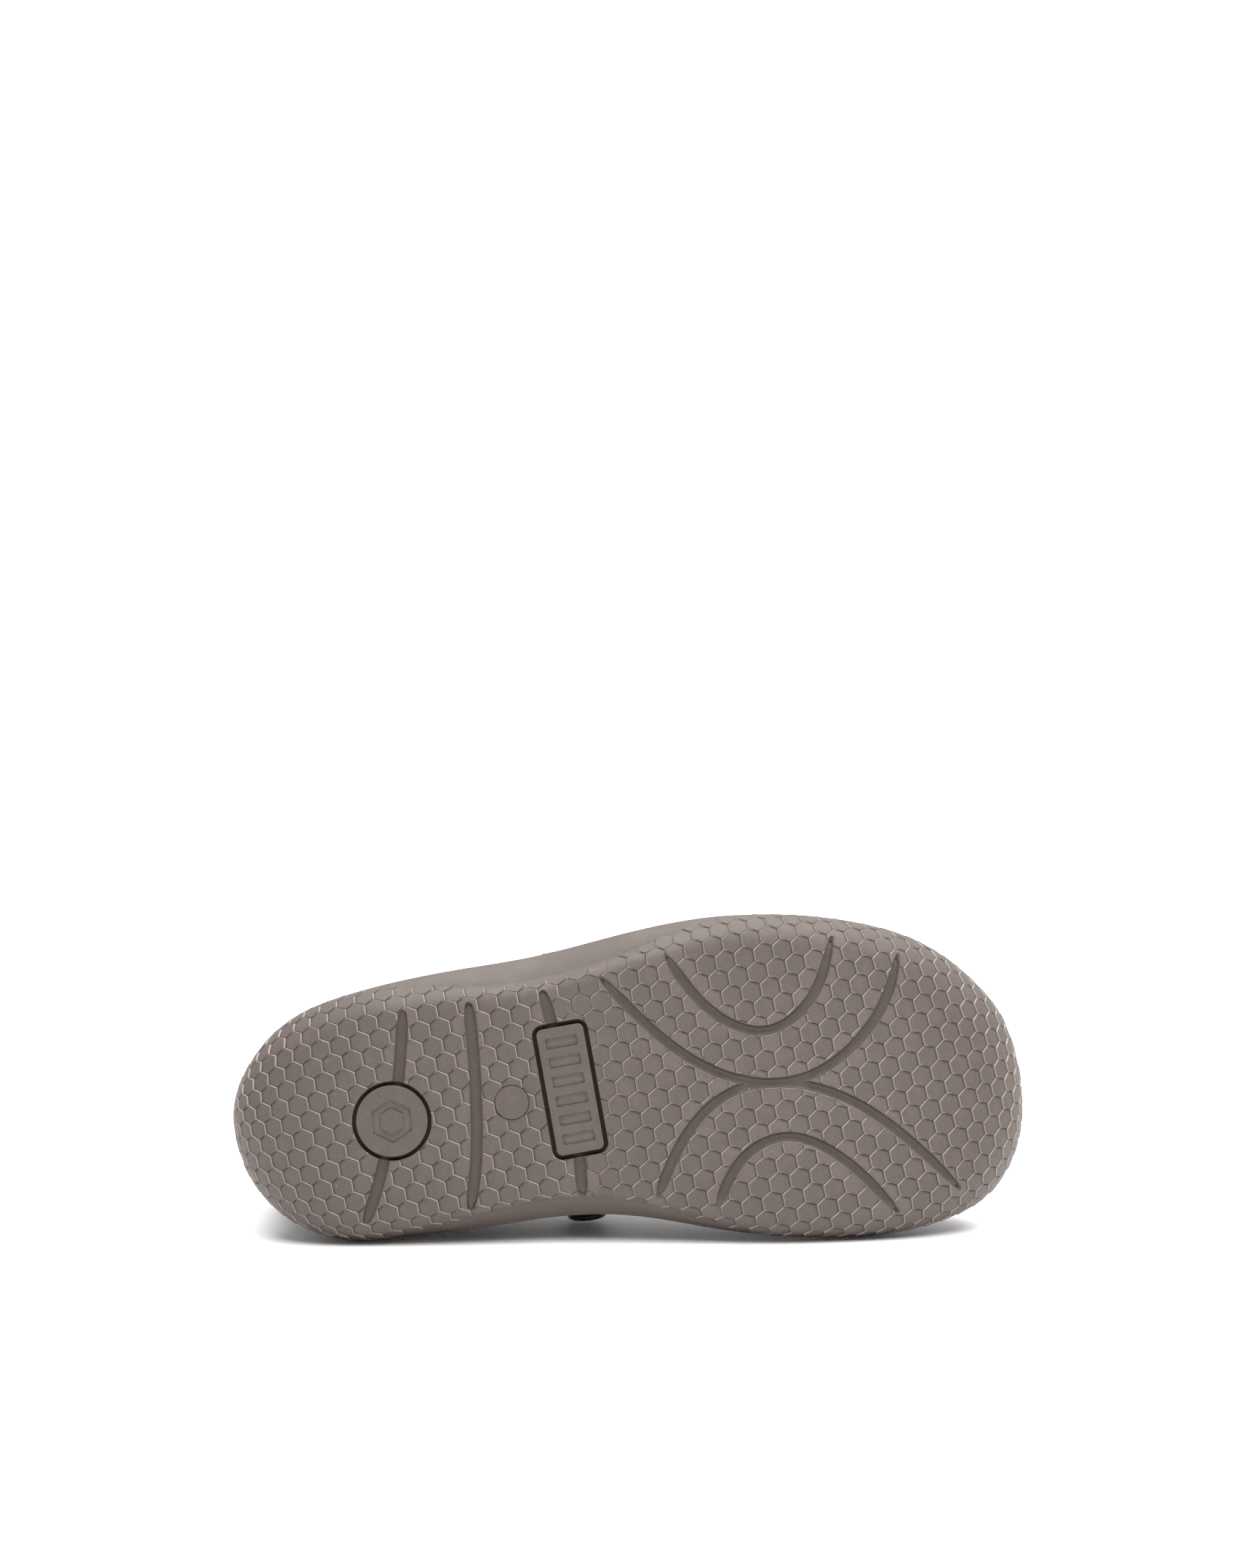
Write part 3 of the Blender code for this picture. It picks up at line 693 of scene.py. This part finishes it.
# mesh attribute, where its colour starts and is full, how much of it at most, and the colour
# the shade mark is painted shade on the low side of each scale, and the last one a painted highlight on its high,
# upward edges
scaleMarks = (("warm", 0.0, 1.0, 0.6, "warm"), ("shade", 0.72, 1.0, 0.8, "low"), ("rub", 0.05, 0.40, 0.95, "high"))
# painted shade in the channel colour across each groove, and a painted highlight in the high colour on its lower
# lip
channelMarks = (("deep", 0.0, 1.0, 1.0, "channel"), ("lip", 0.1, 1.0, 0.8, "high"))
black = (0.0, 0.0, 0.0)


def rubberFinish(name, base, marks=(), specular=rubberLook["specular"]):
    material, tree, shader, coords = startFinish(name, rubberLook["roughness"], specular)
    patches = ramp(tree, noise(tree, coords, rubberLook["patchScale"], 2.0), (0.50, 0.0), (0.68, 0.75))
    colour = mixColour(tree, patches, base, tuple(a * b for a, b in zip(base, rubberLook["patchTint"])))
    for attribute, low, high, most, tint in marks:
        value = addNode(tree, "Attribute", {}, attribute_name=attribute).outputs["Fac"]
        colour = mixColour(tree, mapRange(tree, value, low, high, 0.0, most), colour, rubberLook[tint])
    # a little darker towards the heel
    along = addNode(tree, "SeparateXYZ", {"Vector": coords}).outputs["X"]
    shade = mapRange(tree, along, rubberLook["heelFrom"], rubberLook["heelTo"], rubberLook["heelShade"], 1.0)
    colour = mixColour(tree, shade, black, colour)
    grain = noise(tree, coords, rubberLook["grainScale"], 2.0, 0.6)
    mottle = noise(tree, coords, rubberLook["mottleScale"], 2.0, 0.6)
    colour = mixColour(tree, ramp(tree, grain, (0.30, 0.76), (0.70, 1.0)), black, colour)
    colour = mixColour(tree, ramp(tree, mottle, (0.32, 0.87), (0.68, 1.0)), black, colour)
    specks = addNode(tree, "TexVoronoi", {"Scale": rubberLook["speckScale"], "Vector": coords})
    dot = ramp(tree, specks.outputs["Distance"], (0.05, 1.0), (0.11, 0.0))
    few = ramp(tree, specks.outputs["Color"], (0.90, 0.0), (0.94, 0.5))
    dusty = addNode(tree, "Math", {0: dot, 1: few}, operation='MULTIPLY')
    colour = mixColour(tree, dusty.outputs[0], colour, rubberLook["dust"])
    tree.links.new(colour, shader.inputs["Base Color"])
    wave = noise(tree, coords, rubberLook["waveScale"], 3.0)
    addBump(tree, shader, [(grain, 0.22), (wave, 0.10)], 0.0002)
    return material


leatherLook = dict(base=(0.125, 0.101, 0.089), dark=(0.088, 0.070, 0.060), strap=(0.116, 0.095, 0.084),
                   lining=(0.350, 0.250, 0.159), liningDark=(0.275, 0.188, 0.113), insole=(0.416, 0.300, 0.196),
                   thread=(0.250, 0.213, 0.185), threadDark=0.75, grain=1500, warp=0.002, roughness=0.50,
                   specular=0.33)


def leatherFinish(name, base, dark, grain=leatherLook["grain"], roughness=leatherLook["roughness"]):
    material, tree, shader, coords = startFinish(name, roughness, leatherLook["specular"])
    shift = {0: leatherLook["warp"], 4: coords, 5: noise(tree, coords, 500, 2.0)}
    warped = addNode(tree, "Mix", shift, data_type='VECTOR').outputs[1]
    pebbles = addNode(tree, "TexVoronoi", {"Scale": grain, "Vector": warped}, feature='DISTANCE_TO_EDGE')
    valleys = ramp(tree, pebbles.outputs["Distance"], (0.0, 0.0), (0.22, 1.0))
    clouds = noise(tree, coords, 70, 3.0)
    colour = mixColour(tree, ramp(tree, clouds, (0.35, 0.0), (0.70, 1.0)), dark, base)
    colour = mixColour(tree, ramp(tree, valleys, (0.0, 0.35), (1.0, 0.0)), colour, dark)
    tree.links.new(colour, shader.inputs["Base Color"])
    gloss = mapRange(tree, noise(tree, coords, 260, 3.0), 0.0, 1.0, roughness - 0.08, roughness + 0.12)
    tree.links.new(gloss, shader.inputs["Roughness"])
    addBump(tree, shader, [(valleys, 0.25), (noise(tree, coords, 120, 2.0), 0.12)], 0.0004)
    return material


def threadFinish():
    material, tree, shader, coords = startFinish("thread", 0.75, 0.16)
    colour = mixColour(tree, ramp(tree, noise(tree, coords, 3500), (0.3, 0.0), (0.7, 1.0)),
                       tuple(leatherLook["threadDark"] * part for part in leatherLook["thread"]),
                       leatherLook["thread"])
    tree.links.new(colour, shader.inputs["Base Color"])
    twist = addNode(tree, "TexWave", {"Scale": 900, "Vector": coords}, bands_direction='DIAGONAL')
    addBump(tree, shader, [(twist.outputs["Fac"], 0.4)], 0.0002)
    return material


def enamelFinish():
    material, tree, shader, coords = startFinish("studEnamel", 0.36, 0.42)
    scuffs = ramp(tree, noise(tree, coords, 1400, 4.0, 0.7), (0.45, 0.30), (0.75, 0.52))
    tree.links.new(scuffs, shader.inputs["Roughness"])
    colour = mixColour(tree, ramp(tree, noise(tree, coords, 700), (0.4, 0.0), (0.7, 1.0)),
                       (0.004, 0.004, 0.0035), (0.011, 0.010, 0.009))
    tree.links.new(colour, shader.inputs["Base Color"])
    addBump(tree, shader, [(noise(tree, coords, 2600, 2.0), 0.05)], 0.0002)
    return material


finishes = dict(
    scale=rubberFinish("scaleRubber", rubberLook["base"], scaleMarks),
    side=rubberFinish("sideRubber", rubberLook["base"]),
    groove=rubberFinish("grooveRubber", rubberLook["groove"], channelMarks),
    plate=rubberFinish("plateRubber", rubberLook["plate"]),
    pocketShade=rubberFinish("pocketShadeRubber", rubberLook["pocketShade"], specular=rubberLook["pocketSpecular"]),
    upper=leatherFinish("upperLeather", leatherLook["base"], leatherLook["dark"]),
    strap=leatherFinish("strapLeather", leatherLook["strap"], leatherLook["dark"]),
    lining=leatherFinish("liningLeather", leatherLook["lining"], leatherLook["liningDark"], 2200, 0.62),
    insole=leatherFinish("insoleLeather", leatherLook["insole"], leatherLook["liningDark"], 1800, 0.60),
    thread=threadFinish(),
    enamel=enamelFinish(),
)
print("finishes made:", len(finishes))


def dress(piece, finish):
    piece.data.materials.append(finishes[finish])


# sole
soleBody = makeSoleBody()
dress(soleBody, "side")
scaleGroups = [makeScales(group) for group in range(3)]
for piece in scaleGroups:
    dress(piece, "scale")

# all cutters become one, so each piece is cut once
pocketFloor, cutTop = -plateSize["pocketDeep"], plateSize["cutTop"]
apart = ("ballOuterLarge", "ballInnerLarge")
singles = [makeGroove(name) for name in grooveLines if name not in apart]
pockets = [roundPlate("cutRing", plateSize["ringOuter"], pocketFloor, cutTop, plateSize["ringCentre"]),
           longPlate("cutFrame", plateSize["frameOuter"], pocketFloor, cutTop,
                     plateSize["corner"] + plateSize["cornerGap"])]
singles.append(roundPlate("cutDisc", discSize["radius"] + discSize["gap"], -discSize["pocketDeep"], cutTop,
                          discSize["centre"]))
for cutter in singles:
    dress(cutter, "groove")
for cutter in pockets:
    dress(cutter, "pocketShade")
cutter = joined("cutPockets", pockets)
others = [joined("cutSingles", singles), *(makeGroove(name) for name in apart)]
for other in others[1:]:
    dress(other, "groove")
for other in others:
    cutWith(cutter, other, 'UNION')
    drop(other)
for piece in (soleBody, *scaleGroups):
    cutWith(piece, cutter)
drop(cutter)
treadScales = joined("treadScales", scaleGroups)

# painted shade across a channel, dark on the wall to the outer side, and a painted highlight on the lip on the
# other
channelShade = dict(halfStep=0.6, chunks=40, edge=0.02, edgeOver=0.08, tipLeast=0.3, tipOver=0.25, floor=0.40,
                    slope=0.25, wall=0.6, wallFrom=0.45, wallOver=0.3, lipOut=0.05, lipOver=0.2, lipSlope=1.6,
                    lipFrom=0.3)


def paintGrooveShade(piece):
    lines = [grooveLine(points) for points in grooveLines.values()]
    ahead = unit(np.concatenate([np.gradient(line, axis=0) for line in lines]))
    lines = np.concatenate(lines)
    plan = ((pointsOf(piece) - shoeStart) @ shoeTurn / mm)[:, :2]
    shares = np.concatenate([grooveShare(name) for name in grooveLines])
    look = channelShade
    half = grooveSize["step"] * look["halfStep"]
    near = np.concatenate([np.argmin(((part[:, None] - lines) ** 2).sum(axis=2), axis=1)
                           for part in np.array_split(plan, look["chunks"])])
    away = plan - lines[near]
    along = np.clip((away * ahead[near]).sum(axis=1), -half, half)
    away = (away - along[:, None] * ahead[near]) / (grooveSize["radius"] * shares[near])[:, None]
    inside, side = 1 - np.linalg.norm(away, axis=1), -away[:, 1]
    within = np.clip((inside - look["edge"]) / look["edgeOver"], 0, 1)
    full = np.clip((shares[near] - grooveSize["tip"]) / look["tipOver"], 0, 1)
    full = look["tipLeast"] + (1 - look["tipLeast"]) * full
    wall = look["wall"] * np.clip((side - look["wallFrom"]) / look["wallOver"], 0, 1)
    # painted shade: the channel colour lies over the groove, strongest on the wall to the outer side
    deep = within * full * np.clip(look["floor"] + look["slope"] * side + wall, 0, 1)
    # painted highlight: the high colour along the rim on the inner side of the groove, whose wall faces up
    lip = np.clip(1 - inside / look["lipOver"], 0, 1) * np.clip(-look["lipSlope"] * side - look["lipFrom"], 0, 1)
    lip = np.where(inside > -look["lipOut"], lip, 0)
    mark(piece, deep=deep, lip=lip)


paintGrooveShade(soleBody)
paintGrooveShade(treadScales)
smoothByAngle(soleBody, soleSize["smooth"])
smoothByAngle(treadScales, soleSize["smooth"])
print("sole cut:", len(soleBody.data.polygons), "and", len(treadScales.data.polygons), "faces")


# plain plates in the pockets
def softEdge(piece, width, segments=3):
    bevel = piece.modifiers.new("softEdge", 'BEVEL')
    bevel.width = width * mm
    bevel.segments = segments
    bevel.limit_method = 'ANGLE'
    bevel.angle_limit = math.radians(plateSize["smooth"])
    applyAll(piece)
    smoothByAngle(piece, plateSize["smooth"])


slotSize = dict(count=6, pitch=4.7, size=(7.8, 2.7), corner=0.5, top=2.0)
hexSize = dict(outer=5.4, inner=3.1, coreDeep=1.0)
recessFloor, plateRoot, plateTop = -plateSize["recess"], -plateSize["rootDeep"], plateSize["proud"]
heelPlate = roundPlate("heelPlate", plateSize["ringInner"], plateRoot, plateTop, plateSize["ringCentre"])
waistPlate = longPlate("waistPlate", plateSize["frameInner"], plateRoot, plateTop,
                       plateSize["corner"] - plateSize["cornerGap"])
sizeDisc = roundPlate("sizeDisc", discSize["radius"], -discSize["rootDeep"], discSize["proud"], discSize["centre"])
softEdge(heelPlate, plateSize["soft"])
softEdge(waistPlate, plateSize["soft"])
softEdge(sizeDisc, discSize["soft"])
for plate in (heelPlate, waistPlate, sizeDisc):
    dress(plate, "plate")
slots = [longPlate("cutSlot", slotSize["size"], recessFloor, slotSize["top"], slotSize["corner"],
                   (k - (slotSize["count"] - 1) / 2) * slotSize["pitch"]) for k in range(slotSize["count"])]
slotCut = joined("cutSlots", slots)
hexCut = roundPlate("cutHex", hexSize["outer"], recessFloor, slotSize["top"], plateSize["ringCentre"], 6)
hexCore = roundPlate("hexCore", hexSize["inner"], recessFloor - hexSize["coreDeep"], cutTop,
                     plateSize["ringCentre"], 6)
for cutter in (slotCut, hexCut, hexCore):
    dress(cutter, "groove")
cutWith(hexCut, hexCore)
cutWith(waistPlate, slotCut)
cutWith(heelPlate, hexCut)
for cutter in (slotCut, hexCut, hexCore):
    drop(cutter)
for plate in (heelPlate, waistPlate):
    smoothByAngle(plate, plateSize["smooth"])
    dress(plate, "pocketShade")
    # painted shade: the side walls of each plate, down in its gap, take the dark colour
    for face in plate.data.polygons:
        if face.material_index == 0 and abs(face.normal.dot(upWay)) < plateSize["wallTilt"]:
            face.material_index = len(plate.data.materials) - 1
print("plates set in the tread")


# upper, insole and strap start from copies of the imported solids
def copyOf(node, name):
    source = frame["nodes"][node]
    piece = source.copy()
    piece.data = source.data.copy()
    piece.name = name
    scene.collection.objects.link(piece)
    piece.parent = None
    piece.matrix_world = Matrix.Identity(4)
    piece.data.materials.clear()
    pick(piece)
    mode('EDIT')
    bpy.ops.mesh.select_all(action='SELECT')
    bpy.ops.mesh.remove_doubles(threshold=0.000005)
    bpy.ops.mesh.tris_convert_to_quads(face_threshold=math.radians(60), shape_threshold=math.radians(60))
    mode('OBJECT')
    return piece


def subdivided(piece, levels):
    finer = piece.modifiers.new("finer", 'SUBSURF')
    finer.levels = finer.render_levels = levels
    applyAll(piece)
    pick(piece)
    bpy.ops.object.shade_smooth()
    return piece


upperSize = dict(heartFrom=34, heartTo=150, heartSide=0.02, heartHigh=24)
upperPiece = subdivided(copyOf("upper", "upperShell"), 2)
dress(upperPiece, "upper")
dress(upperPiece, "lining")
toShoe = shoeFrame.inverted()
for face in upperPiece.data.polygons:
    # faces turned away from a line through the foot are outside, the others are lining
    middle = toShoe @ face.center / mm
    heart = Vector((min(max(middle.x, upperSize["heartFrom"]), upperSize["heartTo"]),
                    upperSize["heartSide"] * middle.x, upperSize["heartHigh"]))
    face.material_index = 0 if (toShoe.to_3x3() @ face.normal).dot(middle - heart) > 0 else 1

insolePiece = subdivided(copyOf("insole", "footbed"), 1)
dress(insolePiece, "insole")
strapPiece = subdivided(copyOf("strap", "instepStrap"), 2)
dress(strapPiece, "strap")
print("upper, footbed and strap smoothed")

# stud: a cap with a rolled edge
studSize = dict(radius=4.7, wall=1.21, sides=48, rimFrom=4.6, roll=0.22, smooth=50,
                steps=((0.5, 0.30), (0.9, 0.36), (1.3, 0.24), (1.2, 0.09)))


def makeStud():
    points = pointsOf(frame["nodes"]["strap_stud"])
    centred = points - points.mean(axis=0)
    axis = np.linalg.svd(centred, full_matrices=False)[2][2]
    if axis[2] > 0:
        axis = -axis
    reach = points @ axis
    away = np.linalg.norm(centred - np.outer(centred @ axis, axis), axis=1)
    ring = points[away > studSize["rimFrom"] * mm]
    foot = ring.mean(axis=0) + axis * (reach.min() - ring.mean(axis=0) @ axis)
    deselectAll()
    bpy.ops.mesh.primitive_cylinder_add(vertices=studSize["sides"], radius=studSize["radius"] * mm,
                                        depth=studSize["wall"] * mm, location=(0, 0, studSize["wall"] / 2 * mm))
    cap = bpy.context.object
    cap.name = "strapStud"
    bpy.ops.object.transform_apply(location=True, rotation=True, scale=True)
    top = max(cap.data.polygons, key=lambda face: face.center.z)
    mode('EDIT')
    bpy.ops.mesh.select_all(action='DESELECT')
    mode('OBJECT')
    top.select = True
    mode('EDIT')
    bpy.ops.mesh.select_mode(type='FACE')
    for inset, lift in studSize["steps"]:
        bpy.ops.mesh.inset(thickness=inset * mm)
        bpy.ops.transform.translate(value=(0, 0, lift * mm))
    mode('OBJECT')
    bevel = cap.modifiers.new("rolled", 'BEVEL')
    bevel.width = studSize["roll"] * mm
    bevel.segments = 3
    bevel.angle_limit = math.radians(45)
    applyAll(cap)
    turn = Vector((0, 0, 1)).rotation_difference(Vector(axis)).to_matrix().to_4x4()
    settle(cap, Matrix.Translation(Vector(foot)) @ turn)
    smoothByAngle(cap, studSize["smooth"])
    dress(cap, "enamel")
    return cap


strapStud = makeStud()

# stitches along the collar and the strap
stitchSize = dict(length=2.3, thick=0.55, pitch=3.0, below=2.6, outward=1.0, frontFrom=1.9, frontOver=0.6,
                  samples=400)
strapSize = dict(station=0.435, middle=30.0, sweep=(-18, 196, 260), reach=60.0, width=14.0, stitchInset=1.7)


def makeStitches(name, spots):
    # spots are (place, along, out) in the world
    deselectAll()
    bpy.ops.mesh.primitive_uv_sphere_add(segments=8, ring_count=6, radius=0.5)
    pattern = bpy.context.object
    shape = pointsOf(pattern)
    faces = [tuple(face.vertices) for face in pattern.data.polygons]
    drop(pattern)
    shape *= np.array((stitchSize["thick"], stitchSize["thick"], stitchSize["length"])) * mm
    points, allFaces = [], []
    for place, along, out in spots:
        along = (along - out * along.dot(out)).normalized()
        turn = np.array(Matrix((out, along.cross(out), along)).transposed())
        allFaces += [tuple(k + len(points) * len(shape) for k in face) for face in faces]
        points.append(shape @ turn.T + np.array(place))
    piece = newPiece(name, np.concatenate(points), allFaces)
    pick(piece)
    bpy.ops.object.shade_smooth()
    dress(piece, "thread")
    return piece


def surfaceOf(piece):
    mesh = bmesh.new()
    mesh.from_mesh(piece.data)
    tree = BVHTree.FromBMesh(mesh)
    mesh.free()
    return tree


def alongSpots(line):
    # evenly spaced stitches on a dense line of (place, out)
    run = runAlong(np.array([tuple(place) for place, out in line]))
    count = int(run[-1] / mm / stitchSize["pitch"])
    spots = []
    for k in range(count):
        at = run[-1] * (k + 0.5) / count
        near = min(max(int(np.searchsorted(run, at)), 1), len(line) - 1)
        part = (at - run[near - 1]) / max(run[near] - run[near - 1], 1e-9)
        place = line[near - 1][0].lerp(line[near][0], part)
        spots.append((place, (line[near][0] - line[near - 1][0]).normalized(), line[near][1]))
    return spots


def collarLine():
    tree = surfaceOf(upperPiece)
    angle = np.linspace(0, 2 * math.pi, stitchSize["samples"])
    rim = np.column_stack([collarX(angle), collarY(angle), collarZ(angle)])
    start, over, below = stitchSize["frontFrom"], stitchSize["frontOver"], stitchSize["below"]
    front = np.clip((angle - start) / over, 0, 1) * np.clip((2 * math.pi - start - angle) / over, 0, 1)
    line = []
    for place, side, share in zip(rim, outlineNormal(angle), front):
        outward = stitchSize["outward"] + share * below
        probe = place + np.array((side[0] * outward, side[1] * outward, -below * (1 - share)))
        line.append(tree.find_nearest(Vector(toWorld(probe[None])[0]))[:2])
    return line


def strapLine(offset):
    tree = surfaceOf(strapPiece)
    line = []
    middle = np.array((lastSize["length"] * strapSize["station"] + offset, 0.0, strapSize["middle"]))
    for turn in np.radians(np.linspace(*strapSize["sweep"])):
        way = np.array((0, math.cos(turn), math.sin(turn)))
        start = toWorld((middle + way * strapSize["reach"])[None])[0]
        found, normal = tree.ray_cast(Vector(start), Vector(shoeTurn @ -way), strapSize["reach"] * mm)[:2]
        if found is not None:
            line.append((found, normal))
    return line


collarStitches = makeStitches("collarStitches", alongSpots(collarLine()))
strapReach = strapSize["width"] / 2 - strapSize["stitchInset"]
strapStitches = makeStitches("strapStitches", [spot for side in (-strapReach, strapReach)
                                               for spot in alongSpots(strapLine(side))])
print("stitches sewn")

# each piece is attached to the root body; the part it stands for is listed beside it but not used
for piece, slotName in ((soleBody, "sole"), (treadScales, "sole"), (heelPlate, "sole"), (waistPlate, "sole"),
                        (sizeDisc, "sole"), (upperPiece, "upper"), (collarStitches, "upper"),
                        (insolePiece, "insole"), (strapPiece, "strap"), (strapStitches, "strap"),
                        (strapStud, "strap_stud")):
    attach(piece, "root")
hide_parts("sole")
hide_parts("sole")
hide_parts("upper")
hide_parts("insole")
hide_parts("strap")
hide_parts("strap_stud")

# floor, light and camera
studio = dict(floor=60.0, floorDrop=0.0001, floorShade=0.95, wallBehind=1.26, behindCamera=0.24, wallFrom=-0.1,
              wallTo=0.6, sunStrength=7.44, sunAngle=70.0, sunFrom=(0.12, -0.085, 1.0))
deselectAll()
bpy.ops.mesh.primitive_plane_add(size=studio["floor"], location=(0, 0, -studio["floorDrop"]))
floor = bpy.context.object
floor.name = "floor"
floorFinish, shader = startFinish("floorPaper", 0.45, 0.25)[::2]
shader.inputs["Base Color"].default_value = (*[studio["floorShade"]] * 3, 1)
floor.data.materials.append(floorFinish)

world = bpy.data.worlds.new("studioWhite")
scene.world = world
world.use_nodes = True
background = world.node_tree.nodes["Background"]
background.inputs["Color"].default_value = (1, 1, 1, 1)
tree = world.node_tree
around = addNode(tree, "TexCoord", {}).outputs["Generated"]
ahead = addNode(tree, "SeparateXYZ", {"Vector": around}).outputs["Y"]
strength = mapRange(tree, ahead, studio["wallFrom"], studio["wallTo"], studio["behindCamera"],
                    studio["wallBehind"])
tree.links.new(strength, background.inputs["Strength"])

sunData = bpy.data.lights.new("softSun", 'SUN')
sunData.energy = studio["sunStrength"]
sunData.angle = math.radians(studio["sunAngle"])
softSun = bpy.data.objects.new("softSun", sunData)
softSun.rotation_euler = Vector(studio["sunFrom"]).to_track_quat('Z', 'Y').to_euler()
scene.collection.objects.link(softSun)

cameraSize = dict(azimuth=-2.0, elevation=11.0, distance=1.25, inFront=0.01, frameWidth=305.6, imageWidth=1725,
                  aimDown=404.5, aimRight=5.0, sensor=36.0, nearest=0.01)


def placeCamera():
    data = bpy.data.cameras.new("photoCamera")
    camera = bpy.data.objects.new("photoCamera", data)
    scene.collection.objects.link(camera)
    around, above = math.radians(cameraSize["azimuth"]), math.radians(cameraSize["elevation"])
    back = Vector((math.sin(around) * math.cos(above), -math.cos(around) * math.cos(above), math.sin(above)))
    low, high = Vector(cadBox[0]), Vector(cadBox[1])
    middle = Vector(((low.x + high.x) / 2, low.y + cameraSize["inFront"], (low.z + high.z) / 2))
    place = middle + back * cameraSize["distance"]
    right = Vector((0, 0, 1)).cross(back).normalized()
    up = back.cross(right)
    perPixel = cameraSize["frameWidth"] / cameraSize["imageWidth"] * mm
    aim = middle + up * cameraSize["aimDown"] * perPixel - right * cameraSize["aimRight"] * perPixel
    camera.location = place
    camera.rotation_euler = (aim - place).to_track_quat('-Z', 'Y').to_euler()
    data.sensor_fit = 'HORIZONTAL'
    data.sensor_width = cameraSize["sensor"]
    data.lens = cameraSize["sensor"] * (aim - place).length / (cameraSize["frameWidth"] * mm)
    data.clip_start = cameraSize["nearest"]
    scene.camera = camera


placeCamera()
scene.view_settings.view_transform = 'Standard'
print("studio and camera placed")
